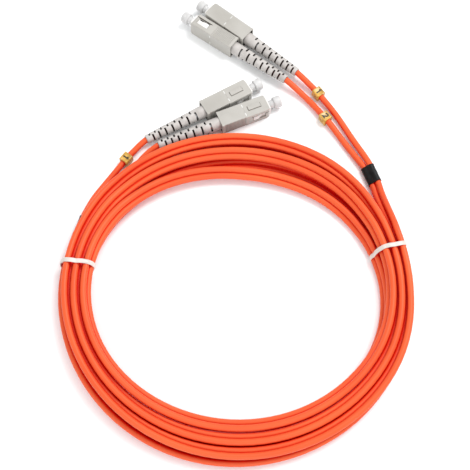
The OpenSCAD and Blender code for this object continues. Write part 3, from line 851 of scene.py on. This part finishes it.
def grip_shell():
    """The outer block, rounded along its length and at its front corners."""
    shell = block(0, -GRIP_L, GRIP_W, GRIP_H, soft=GRIP_SOFT, steps=4, only="x", material=GRIP)
    plan = block(0, -GRIP_L - 5 * OVER, GRIP_W, GRIP_H + OVER, soft=NOSE_SOFT, steps=5, only="z")
    return carved(shell, [plan], "INTERSECT")


def waist_cut(side):
    """The recess of one narrow face, less the ribs that stand in it."""
    recess = block(-WAIST_FROM, -WAIST_FROM - WAIST_L, 2 * WAIST_T, GRIP_H + OVER,
                   y=side * GRIP_W / 2, soft=WAIST_SOFT, only="z")
    step = (WAIST_L - 2 * RIB_MARGIN) / RIB_N
    ribs = []
    for i in range(RIB_N):
        mid = -WAIST_FROM - RIB_MARGIN - (i + 0.5) * step
        ribs.append(block(mid + step * RIB_HALF, mid - step * RIB_HALF, RIB_DEPTH * WAIST_T,
                          GRIP_H + 2 * OVER, y=side * (GRIP_W / 2 - WAIST_T)))
    return carved(recess, ribs)


print("ribs are", round((WAIST_L - 2 * RIB_MARGIN) / RIB_N, 2), "mm apart")

# %% Marks, windows and bores
POCKET_FRONT, POCKET_WALL, POCKET_SOFT = -21.7, 0.45, 0.4
WINDOW_SOFT = 0.35
SLIT_DEPTH, SLIT_W, SLIT_ABOVE = 0.4, 0.4, 0.05
DASH_AT, DASH_L, DASH_W, DASH_Y = 12.15, 1.8, 0.5, 2.5
LINE_W, LINE_DEPTH, MARK_DEPTH = 0.12, 0.08, 0.15


def dash(length, width, depth, side, face, sunk=0, soft=0.0, material=None):
    """A small block in one wide face, beside the line where the grip's two halves meet."""
    return block(-DASH_AT + width / 2, -DASH_AT - width / 2, length, 2 * depth, y=side * DASH_Y,
                 z=face * (GRIP_H / 2 - sunk), soft=soft, material=material)


def grip_cuts():
    """The bore for the frame, the pocket for the boot, the windows and the line round the key. The walls
    of the pocket and of the line carry painted shade.
    """
    return [
        block(OVER, -GRIP_L - OVER, FRAME_W + 2 * SLIDE_GAP, FRAME_H + 2 * SLIDE_GAP),
        # The pocket's walls carry painted shade round the boot.
        block(POCKET_FRONT, -GRIP_L - OVER, GRIP_W - 2 * (WAIST_T + POCKET_WALL),
              BOOT_D + 2 * LOOSE_GAP, soft=POCKET_SOFT, only="x", material=SHADE),
        block(-WINDOW_FROM, -WINDOW_FROM - WINDOW_L, GRIP_W + OVER, WINDOW_H, soft=WINDOW_SOFT,
              steps=3, only="y"),
        # A shallow line round the key, its walls painted dark as the key's shadow.
        block(-KEY_FROM + KEY_LINE, -KEY_FROM - KEY_L - KEY_LINE, KEY_W + 2 * KEY_LINE,
              2 * MARK_DEPTH, z=GRIP_H / 2, material=SHADE),
    ]


def side_cuts(side):
    """The waist and the slit of one narrow face, and the marks towards it on the wide faces. The slit's
    walls carry painted shade.
    """
    return [
        waist_cut(side),
        # A shallow slit whose walls are painted dark as the shade of a deep gap.
        block(-SLIT_FROM, -SLIT_FROM - SLIT_L, 2 * SLIT_DEPTH, SLIT_W, y=side * GRIP_W / 2,
              z=WINDOW_H / 2 + SLIT_ABOVE, material=SHADE),
        block(-DASH_AT + LINE_W / 2, -DASH_AT - LINE_W / 2, 2 * DASH_Y - DASH_L, 2 * LINE_DEPTH,
              z=side * GRIP_H / 2),
        dash(DASH_L, DASH_W, MARK_DEPTH, side, -1),
        dash(DASH_L, DASH_W, MARK_DEPTH, side, 1),
    ]


print("marks are cut", MARK_DEPTH, "mm deep")

# %% Grip
KEY_ROOT, KEY_SOFT, GRIP_BEVEL = 0.6, 0.16, 0.07
DASH_FIT, DASH_DEPTH, DASH_SOFT = 0.01, 0.12, 0.05


def grip_mesh():
    """The shell after its cuts, with its key and its white dashes."""
    shell = grip_shell()
    for cutter in grip_cuts() + side_cuts(-1) + side_cuts(1):
        shell = carved(shell, [cutter])
    key = block(-KEY_FROM, -KEY_FROM - KEY_L, KEY_W, KEY_H + KEY_ROOT,
                z=GRIP_H / 2 + (KEY_H - KEY_ROOT) / 2, soft=KEY_SOFT, material=GRIP)
    shell = carved(shell, [key], "UNION")
    dashes = [
        dash(DASH_L - 2 * DASH_FIT, DASH_W - 2 * DASH_FIT, DASH_DEPTH, side, face,
             sunk=DASH_DEPTH, soft=DASH_SOFT, material=MARK)
        for side in (-1, 1) for face in (-1, 1)
    ]
    shell = joined([softened(shell, GRIP_BEVEL)] + dashes)
    return even_normals(shade(finished(shell)))


GRIP_MESH = grip_mesh()
for end in ENDS:
    placed("grip_shell", GRIP_MESH, end, "grip_" + end, "grip")
print("grip", len(GRIP_MESH.polygons), "faces")

# %% [markdown]
# ## The plug's frame
# The white inner block shows at the front and through the windows. Beside each latch ramp a slit goes
# through to the mouth round the ferrule, and its walls carry painted shade. The block is one moulding on
# the real plug. Here its mouth and chamber are one turned cutter, because a lathe outline says every step
# of a bore at once.

# %% Plug frame
FRAME_REAR, MOUTH_D, MOUTH_END, SEAT, CHAMBER_D = -20.35, 4.8, -6.2, -8.2, 4.6
FERRULE_D = 2.5
LATCH_FRONT, LATCH_RAMP, LATCH_REAR, LATCH_TOP, LATCH_ROOT = -3.6, 2.6, -8.6, 4.35, 0.1
SLIT, SLIT_REACH, SLIT_MID, SLIT_AHEAD, SLIT_BEHIND = (1.05, 1.65), 2.6, 3.3, 1.2, 0.3
FRAME_SOFT, FRAME_BEVEL, LATCH_BEVEL = 0.35, 0.1, 0.08
MOUTH_FLARE, MOUTH_CHAMFER = 1.3, 0.3


def latch(side):
    """The ramp that an adapter's arm snaps behind, as a wedge with its step to the rear."""
    low, high = -WINDOW_H / 2 + LOOSE_GAP, SLIT[0]
    root = FRAME_W / 2 - LATCH_ROOT
    outline = [(LATCH_FRONT, root), (LATCH_FRONT - LATCH_RAMP, LATCH_TOP),
               (LATCH_REAR, LATCH_TOP), (LATCH_REAR, root)]
    verts = [(x, side * y, z) for z in (low, high) for x, y in outline]
    faces = [(3, 2, 1, 0), (4, 5, 6, 7)] + [(i, (i + 1) % 4, (i + 1) % 4 + 4, i + 4) for i in range(4)]
    if side < 0:
        faces = [face[::-1] for face in faces]
    return mesh_object("latch", verts, faces, HOUSING)


def frame_bore():
    """The mouth, the ferrule's seat and the spring's chamber as one turned cutter."""
    front, rear = FRAME_OUT + OVER, FRAME_REAR - OVER
    mouth, seat, chamber = MOUTH_D / 2, FERRULE_D / 2 + SLIDE_GAP, CHAMBER_D / 2
    outline = [(front, 0), (front, mouth + MOUTH_FLARE), (FRAME_OUT - MOUTH_CHAMFER, mouth),
               (MOUTH_END, mouth), (MOUTH_END, seat), (SEAT, seat), (SEAT, chamber),
               (rear, chamber), (rear, 0)]
    return turned(outline, 40)


def frame_mesh():
    """The block with its bore, its slits and its latch ramps."""
    body = block(FRAME_OUT, FRAME_REAR, FRAME_W, FRAME_H, soft=FRAME_SOFT, steps=3, only="x",
                 material=HOUSING)
    body = carved(body, [frame_bore()])
    for side in (-1, 1):
        # The slit's walls carry painted shade.
        slit = block(LATCH_FRONT + SLIT_AHEAD, LATCH_REAR - SLIT_BEHIND, SLIT_REACH, SLIT[1] - SLIT[0],
                     y=side * SLIT_MID, z=(SLIT[0] + SLIT[1]) / 2, material=SHADE)
        body = carved(body, [slit])
    latches = [softened(latch(side), LATCH_BEVEL) for side in (-1, 1)]
    return even_normals(shade(finished(joined([softened(body, FRAME_BEVEL)] + latches))))


FRAME_MESH = frame_mesh()
for end in ENDS:
    placed("frame_housing", FRAME_MESH, end, "cord", "plug_frame")
print("frame", len(FRAME_MESH.polygons), "faces")

# %% [markdown]
# ## Ferrule and dust cap
# The ferrule is a polished ceramic pin with the fibre at its middle. The cap is a milky knob on a neck,
# with a small mark in its face where the mould was fed. Both are round about the plug's axis, so each is
# one outline spun once round. Cylinders joined together would leave seams in their soft edges.

# %% Ferrule and cap
TIP, FERRULE_REAR = 1.2, -9.72
CAP_D, CAP_HEAD_L, CAP_OUT, STEM_D, STEM_IN = 5.9, 3.9, 7.5, 4.0, 4.2
TIP_EDGE, FIBRE_R, FIBRE_DIP = 0.3, 0.07, 0.05
FEED_R, FEED_RIM, FEED_DIP = 0.5, 0.75, 0.15
CAP_FREE, CAP_CONE = 1.4, 0.5


def ferrule_mesh():
    """A pin with a bevelled tip. A third number in a corner is its own rounding."""
    r = FERRULE_D / 2
    outline = [(TIP - FIBRE_DIP, 0), (TIP - FIBRE_DIP, FIBRE_R, 0), (TIP, FIBRE_R + 0.03, 0),
               (TIP, r - TIP_EDGE, 0.15), (TIP - TIP_EDGE, r, 0.15), (FERRULE_REAR, r, 0),
               (FERRULE_REAR, 0)]
    return shade(finished(turned(rounded(outline, 0, 3), 40, material=CERAMIC)))


def cap_mesh():
    """The knob, its neck and the bore that slips over the ferrule."""
    neck, bore, bore_end = CAP_OUT - CAP_HEAD_L, FERRULE_D / 2 + SLIDE_GAP, TIP + CAP_FREE
    outline = [(CAP_OUT - FEED_DIP, 0), (CAP_OUT - FEED_DIP, FEED_R, 0.1), (CAP_OUT, FEED_RIM, 0.1),
               (CAP_OUT, CAP_D / 2, 0.75), (neck, CAP_D / 2, 0.8), (neck, STEM_D / 2, 0.3),
               (-STEM_IN, STEM_D / 2, 0.2), (-STEM_IN, bore, 0.15), (bore_end, bore, 0),
               (bore_end + CAP_CONE, 0)]
    return shade(finished(turned(rounded(outline, 0), 48, material=CAP)))


FERRULE_MESH, CAP_MESH = ferrule_mesh(), cap_mesh()
for end in ENDS:
    placed("ferrule_pin", FERRULE_MESH, end, "ferrule_" + end, "ferrule")
    placed("cap_knob", CAP_MESH, end, "dust_cap_" + end, "dust_cap")
print("cap", len(CAP_MESH.polygons), "faces")

# %% [markdown]
# ## The boot
# A tapered rubber tube. Its slots come in two diagonal rows, half a step apart, so it bends either way
# without a kink. Their walls and the cord at the bottom of each are painted dark as shade. A dark stripe
# would do from far off, but the slots nick the boot's outline, so they are cut right through.

# %% Boot
# The slots start SLOT_FROM behind the grip, and each step is SLOT_SHRINK shorter than the one before.
BOOT_FRONT, CRIMP_R = -23.6, 2.15
SLOT_N, SLOT_W, SLOT_FROM, SLOT_STEP, SLOT_SHRINK = 7, 0.7, 4.6, 4.6, 0.28
SLOT_OPEN, SLOT_SLACK, SLOT_SOFT = 1.42, 0.1, 0.2
BOOT_BEVEL, BOOT_SHARP = 0.05, 40
BOOT_COLLAR, TAIL_EDGE = 2.2, 0.3


def boot_tube():
    """A short straight collar, then an even taper to the tail, round the crimp and the cord."""
    hole, crimp_end = JACKET_D / 2 + LOOSE_GAP, CRIMP_REAR - LOOSE_GAP
    outline = [(BOOT_FRONT, CRIMP_R), (BOOT_FRONT, BOOT_D / 2, 0.2),
               (-GRIP_L - BOOT_COLLAR, BOOT_D / 2, 0.8), (BOOT_REAR + TAIL_EDGE, BOOT_TAIL_D / 2, 0.25),
               (BOOT_REAR, BOOT_TAIL_D / 2 - TAIL_EDGE, 0.15), (BOOT_REAR, hole, 0.1),
               (crimp_end, hole, 0), (crimp_end, CRIMP_R)]
    return turned(rounded(outline, 0, 3), 56, material=BOOT)


def slot(row, i):
    """One slot's cutter. It is SLOT_OPEN times as wide as the boot's radius where it cuts."""
    x = -GRIP_L - SLOT_FROM - i * SLOT_STEP + i * (i - 1) / 2 * SLOT_SHRINK
    x -= row * (SLOT_STEP - i * SLOT_SHRINK) / 2
    taper = (-x - GRIP_L - BOOT_COLLAR) / (BOOT_L - BOOT_COLLAR)
    radius = (BOOT_D + (BOOT_TAIL_D - BOOT_D) * taper) / 2
    # The cutter's dark finish paints shade on the slot's walls.
    cutter = block(x + SLOT_SLACK, x - SLOT_W - SLOT_SLACK, SLOT_OPEN * radius, 2 * BOOT_D,
                   soft=SLOT_SOFT, only="z", material=SHADE)
    cutter.data.transform(Matrix.Rotation(math.radians(row * 90 + 45), 4, "X"))
    return cutter


def boot_mesh():
    """The tube with both rows of slots cut through it."""
    body = boot_tube()
    for row in (0, 1):
        body = carved(body, [slot(row, i) for i in range(SLOT_N)])
    return shade(finished(softened(body, BOOT_BEVEL)), BOOT_SHARP)


BOOT_MESH = boot_mesh()
for end in ENDS:
    placed("boot_relief", BOOT_MESH, end, "cord", "boot")
print("boot", len(BOOT_MESH.polygons), "faces")

# %% [markdown]
# ## The springs and the metal inside
# Each spring is drawn as round wire. A screw modifier could turn it, but the tube helper also keeps its
# ends where the two seats are. The flange, the backbone, the crimp and the fibre are plain turned parts
# that nobody sees, so they keep their solids and get a finish.

# %% Springs
SPRING_L, WIRE_D, SPRING_D, SPRING_TURNS = 6.7, 0.42, 3.85, 6
FLANGE_REAR, STOP, FERRULE_TRAVEL = -10.35, -17.05, 1.0


def spring_frames(steps=28):
    """Steps along a screw line round the plug's axis, between the flange and the stop."""
    run = SPRING_L - WIRE_D - 2 * SLIDE_GAP
    count = SPRING_TURNS * steps
    frames = []
    for i in range(count + 1):
        a = 360 * i / steps
        out = np.array([0, cos(a), sin(a)])
        x = FLANGE_REAR - SLIDE_GAP - WIRE_D / 2 - run * i / count
        frames.append((np.array([x, 0, 0]) + SPRING_D / 2 * out, out, np.array([-1.0, 0, 0])))
    return frames


SPRING_PIECE = tube("spring", spring_frames(), circle(WIRE_D / 2, 10), STEEL)
SPRING_PIECE.data.transform(Matrix.Scale(1 / MM, 4))
SPRING_MESH = finished(SPRING_PIECE)
for end in ENDS:
    spring = placed("spring_wire", SPRING_MESH, end, "cord", "ferrule_spring")
    plug_point(end, STOP) * MM
    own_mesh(spring)
print("springs", len(SPRING_MESH.polygons), "faces each")

# %% Finishes of the inner parts
INNER = dict(ferrule_flange=PLATED, backbone=PLATED, crimp_sleeve=CRIMP, fibre_tube=BUFFER)
for name, material in INNER.items():
    for end in ENDS:
        mesh = frame["nodes"][name + "_" + end].data
        mesh.materials.clear()
        mesh.materials.append(material)
print(len(INNER), "kinds of inner part finished")

# %% [markdown]
# ## Leg markers
# Amber clips say which leg is which. They carry plain numbers, 1 and 2 at each end, read along the cord.
# The numbers are thin ribbons set into the label. Text objects would be quicker, but their letters
# depend on a font file, while strokes come out the same everywhere.

# %% Number strokes
STROKES = {
    "1": [[(-0.6, 0.75), (0.1, 1.35), (0.1, -1.35)]],
    "2": [[(-0.85, 0.7), (-0.55, 1.2), (0.15, 1.4), (0.75, 0.95), (0.6, 0.2), (-0.8, -1.25),
           (0.95, -1.25)]],
}


def ribbon(line, width, low, high):
    """A flat stroke along a line in the label's plane, mitred at its bends."""
    line = [np.array(p, float) for p in line]
    sides = []
    for i, p in enumerate(line):
        back = unit(p - line[i - 1]) if i else unit(line[1] - p)
        ahead = unit(line[i + 1] - p) if i + 1 < len(line) else back
        normal = unit(np.array([-(back + ahead)[1], (back + ahead)[0]]))
        reach = width / 2 / max(0.5, normal @ np.array([-ahead[1], ahead[0]]))
        sides.append((p + normal * reach, p - normal * reach))
    verts = [(q[0], q[1], z) for pair in sides for q in pair for z in (low, high)]
    faces = [(0, 2, 3, 1), tuple(len(verts) - 4 + k for k in (0, 1, 3, 2))]
    for i in range(len(line) - 1):
        k = 4 * i
        faces += [(k + 1, k + 3, k + 7, k + 5), (k, k + 4, k + 6, k + 2),
                  (k, k + 1, k + 5, k + 4), (k + 2, k + 6, k + 7, k + 3)]
    return faced_outward(mesh_object("stroke", verts, faces, INK))


print("points in each number:", {number: sum(map(len, lines)) for number, lines in STROKES.items()})

# %% Markers
MARKER_L, MARKER_W, MARKER_H, MARKER_SOFT, MARKER_BEVEL = 4.6, 5.0, 4.8, 0.7, 0.08
MARKER_INSET, MARKER_SLIT = 0.3, 1.8
LABEL_RIM, LABEL_SIDE, LABEL_DEPTH, LABEL_SOFT = 0.35, 1.9, 0.15, 0.1
FINGER_RIBS, FINGER_STEP, FINGER_L, FINGER_W = 4, 1.1, 0.5, 0.5
FINGER_SHORT, FINGER_IN, FINGER_SOFT = 2.1, 0.28, 0.12
STROKE_W, STROKE_LOW, STROKE_HIGH = 0.7, -0.16, 0.01


def marker_ribs():
    """Upright finger ribs down both sides of a marker."""
    ribs = []
    for side in (-1, 1):
        for i in range(FINGER_RIBS):
            x = (i - (FINGER_RIBS - 1) / 2) * FINGER_STEP
            ribs.append(block(x + FINGER_L / 2, x - FINGER_L / 2, FINGER_W, MARKER_H - FINGER_SHORT,
                              y=side * (MARKER_W / 2 - FINGER_IN), soft=FINGER_SOFT, material=AMBER))
    return ribs


def marker_mesh(number):
    """A clip with a round bore, a slit below, a rimmed label on top and ribs down its sides."""
    half, top, hole = MARKER_L / 2, MARKER_H / 2, JACKET_D / 2 + LOOSE_GAP
    past = half + OVER
    body = block(half, -half, MARKER_W - MARKER_INSET, MARKER_H, soft=MARKER_SOFT, steps=4, only="x",
                 material=AMBER)
    body = carved(body, [turned([(past, 0), (past, hole), (-past, hole), (-past, 0)], 40)])
    body = carved(body, [block(past, -past, MARKER_SLIT, 2 * OVER, z=-top)])
    recess = block(half - LABEL_RIM, LABEL_RIM - half, MARKER_W - LABEL_SIDE, 2 * LABEL_DEPTH, z=top,
                   soft=LABEL_SOFT, only="z")
    parts = [softened(carved(body, [recess]), MARKER_BEVEL)] + marker_ribs()
    parts += [ribbon(line, STROKE_W, top + STROKE_LOW, top + STROKE_HIGH) for line in STROKES[number]]
    return shade(finished(joined(parts)))


def marker_matrix(end):
    """Midway along its step of the leg's route, label up, with the number read along the cord."""
    start, stop = marker_ends(end)
    way = unit(stop - start)
    across = unit(np.cross(UP, way))
    turn = Matrix([(*column, 0) for column in (way, across, np.cross(way, across))] + [(0, 0, 0, 1)])
    return Matrix.Translation(marker_middle(end) * MM) @ turn.transposed() @ Matrix.Scale(MM, 4)


MARKER_MESHES = {number: marker_mesh(number) for number in STROKES}
for end in ENDS:
    mesh = MARKER_MESHES[end[1]].copy()
    mesh.transform(marker_matrix(end))
    clip = loose_object("marker_clip_" + end, mesh)
    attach(clip, "cord")
    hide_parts("leg_marker_" + end)
print("marker", len(MARKER_MESHES["1"].polygons), "faces")

# %% [markdown]
# ## Sleeves
# Black heat shrink covers each split. It has shrunk into the groove between the two jackets, and its cut
# ends flare a little. It could be a scaled cylinder, but then it would stand off the groove. So one
# outline is drawn round both jackets, and its radius and pinch change along the sleeve.

# %% Heat-shrunk sleeves
# SLEEVE_THIN leaves room in the wall for the flare and for a slow wave along it.
FLARE, FLARE_FROM = 0.1, 0.82
WAVE, WAVE_RATE = 0.035, 7
PINCH, SLEEVE_THIN, STATIONS = 0.18, 0.08, 15
GROOVE_POINTS = (0.6, 0.3, 0, -0.3, -0.6)


def sleeve_outline(radius, pinch, points=11):
    """A stadium round both jackets, drawn in by pinch at its waist."""
    arc = np.linspace(-math.pi / 2, math.pi / 2, points)
    right = [(LOBE + radius * math.cos(t), radius * math.sin(t)) for t in arc]
    waist = [(LOBE * s, radius - pinch * (0.5 + 0.5 * math.cos(math.pi * s))) for s in GROOVE_POINTS]
    left = [(-x, -y) for x, y in right]
    return right + waist + left + [(-x, -y) for x, y in waist]


def sleeve(name, row, way, node):
    """Rings along the sleeve's outside and back along its inside, closed at both ends."""
    point, width = row[:3], row[3:]
    height = np.cross(width, way)
    inner = JACKET_D / 2 + SLIDE_GAP
    verts, rings = [], []
    stations = np.linspace(-1, 1, STATIONS)
    layers = [(s, True) for s in stations] + [(s, False) for s in stations[::-1]]
    for s, outside in layers:
        flare = FLARE * max(0, abs(s) - FLARE_FROM) / (1 - FLARE_FROM)
        wave = WAVE * math.sin(WAVE_RATE * s + 1) * (1 - s * s)
        radius = inner + (SLEEVE_WALL - SLEEVE_THIN + flare + wave if outside else 0.0)
        ring = sleeve_outline(radius, PINCH * (1 - s**4))
        rings.append(range(len(verts), len(verts) + len(ring)))
        middle = point + way * s * SLEEVE_L / 2
        verts += [middle + q[0] * width + q[1] * height for q in ring]
    n = len(rings[0])
    faces = [(low[k], low[(k + 1) % n], high[(k + 1) % n], high[k])
             for low, high in zip(rings, list(rings[1:]) + [rings[0]]) for k in range(n)]
    piece = mesh_object(name, np.array(verts) * MM, faces, SLEEVE)
    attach(piece, "cord")
    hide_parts(node)
    return piece


for end, row in (("a", SLEEVE_A), ("b", SLEEVE_B)):
    piece = sleeve("sleeve_shrunk_" + end, row, WAY[end], "split_sleeve_" + end)
    print(piece.name, len(piece.data.polygons), "faces")

# %% [markdown]
# ## Ties
# Each tie is a white strap drawn tight round every pass that crosses its angle. Its line is the tight
# loop round all those round jackets, which is a convex hull. A torus would be easy, but would cut through
# some turns and miss others. On top the strap bows up a little between turns, as a stiff strap does.

# %% Tight loop
def hull(points):
    """The convex hull of points in a plane, anticlockwise."""
    points = sorted(map(tuple, points))
    chains = []
    for run in (points, points[::-1]):
        chain = []
        for p in run:
            while len(chain) > 1 and ((chain[-1][0] - chain[-2][0]) * (p[1] - chain[-2][1])
                                      <= (chain[-1][1] - chain[-2][1]) * (p[0] - chain[-2][0])):
                chain.pop()
            chain.append(p)
        chains.append(chain[:-1])
    return [np.array(p) for p in chains[0] + chains[1]]


square = [(0, 0), (2, 0), (2, 2), (0, 2)]
print("a square with a point inside has a hull of", len(hull(square + [(1, 1)])), "corners")

# %% Line of a tie
TIE_BOW, BOW_POINTS = 0.12, 8
TIE_CALM_PASSES = 3


def turn_middles(angle):
    """Where every jacket of every turn crosses the upright plane at that angle."""
    first = ((angle - COIL_START) % 360) / 360
    middles = []
    for turns in np.arange(first, COIL_TURNS, 1):
        row = coil_row(turns)
        for side in (-1, 1):
            p = row[:3] + side * LOBE * row[3:]
            middles.append(((p[:2] - COIL_CENTRE) @ heading(angle)[:2], p[2]))
    return middles


def tie_line(angle, radius, step=0.45):
    """Points evenly round the tight loop, bowed up between the turns and softly bent over them."""
    loop = hull([np.array(m) + np.array(q) for m in turn_middles(angle) for q in circle(radius, 48)])
    bowed = []
    for start, stop in zip(loop, loop[1:] + [loop[0]]):
        run = stop - start
        out = np.array([run[1], -run[0]])
        bow = TIE_BOW if out[1] > 0 else 0
        bowed += [start + t * run + bow * 4 * t * (1 - t) * out
                  for t in np.linspace(0, 1, BOW_POINTS, endpoint=False)]
    ring = np.array(bowed + [bowed[0]])
    lengths = lengths_along(ring)
    places = np.linspace(0, lengths[-1], int(lengths[-1] / step), endpoint=False)
    line = np.stack([np.interp(places, lengths, ring[:, i]) for i in (0, 1)], axis=1)
    for _ in range(TIE_CALM_PASSES):
        line = (np.roll(line, 1, axis=0) + 2 * line + np.roll(line, -1, axis=0)) / 4
    return line


print({side: len(turn_middles(angle)) for side, angle in TIE_AT.items()}, "jackets in each tie")

# %% Ties
SWAY, SWAYS, TIE_SHARP = 0.12, 3, 50
STRAP_SHAPE = [(-1, -1), (1, -1), (1, 0.3), (0.7, 0.7), (0.25, 1), (-0.25, 1), (-0.7, 0.7), (-1, 0.3)]


def tie(name, angle, node):
    """A strap with a soft ridge down its middle, carried round the loop."""
    outward, along = heading(angle), heading(angle + 90)
    centre = np.array([*COIL_CENTRE, 0.0])
    section = [(across * TIE_W / 2, depth * TIE_T / 2) for across, depth in STRAP_SHAPE]
    line = tie_line(angle, JACKET_D / 2 + TIE_GAP + TIE_T / 2)
    n, rows = len(section), len(line)
    verts = []
    for i, p in enumerate(line):
        way = unit(line[(i + 1) % rows] - line[i - 1])
        out = np.array([way[1], -way[0]])
        sway = SWAY * math.sin(2 * math.pi * i / rows * SWAYS)
        for across, depth in section:
            q = p + depth * out
            verts.append(centre + q[0] * outward + q[1] * UP + (across + sway) * along)
    faces = [(i * n + k, (i + 1) % rows * n + k, (i + 1) % rows * n + (k + 1) % n, i * n + (k + 1) % n)
             for i in range(rows) for k in range(n)]
    piece = faced_outward(mesh_object(name, np.array(verts) * MM, faces, STRAP))
    shade(piece.data, TIE_SHARP)
    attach(piece, "cord")
    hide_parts(node)
    return piece


for side, angle in TIE_AT.items():
    strap = tie("tie_strap_" + side, angle, "tie_" + side)
    print(strap.name, len(strap.data.polygons), "faces")

# %% [markdown]
# ## Table and light
# A plain white table with light from all round it. A large soft panel stands above the far right, and
# two weaker ones on the near side keep the near turns bright. The shadows are faint and fall towards
# the near left. Sun lamps would draw hard shadows, so the lamps are discs as wide as a studio's.

# %% Table, panels and sky
TABLE_SIZE, SKY_STRENGTH = 3.0, 0.88
corners = [(x * TABLE_SIZE, y * TABLE_SIZE, 0) for x, y in ((-1, -1), (1, -1), (1, 1), (-1, 1))]
table = mesh_object("table_top", corners, [(0, 1, 2, 3)], FLOOR)


def panel(name, place, size, watts):
    """A round lamp that looks at the cord."""
    light = bpy.data.lights.new(name, "AREA")
    light.shape, light.size, light.energy = "DISK", size, watts
    lamp = bpy.data.objects.new(name, light)
    lamp.location = place
    lamp.rotation_euler = (LOOK_AT - Vector(place)).to_track_quat("-Z", "Y").to_euler()
    bpy.context.scene.collection.objects.link(lamp)
    return lamp


panel("panel_far_right", (0.45, 0.3, 0.9), 0.5, 8.0)
panel("panel_near_left", (-0.6, -0.8, 0.7), 0.7, 1.5)
panel("panel_near", (0.1, -1.0, 0.4), 0.8, 3.0)
sky = bpy.data.worlds.new("sky")
sky.use_nodes = True
sky.node_tree.nodes["Background"].inputs["Color"].default_value = (1.0, 1.0, 1.0, 1)
sky.node_tree.nodes["Background"].inputs["Strength"].default_value = SKY_STRENGTH
bpy.context.scene.world = sky
bpy.context.scene.view_settings.view_transform = "Standard"
print("table and", len(bpy.data.lights), "panels")
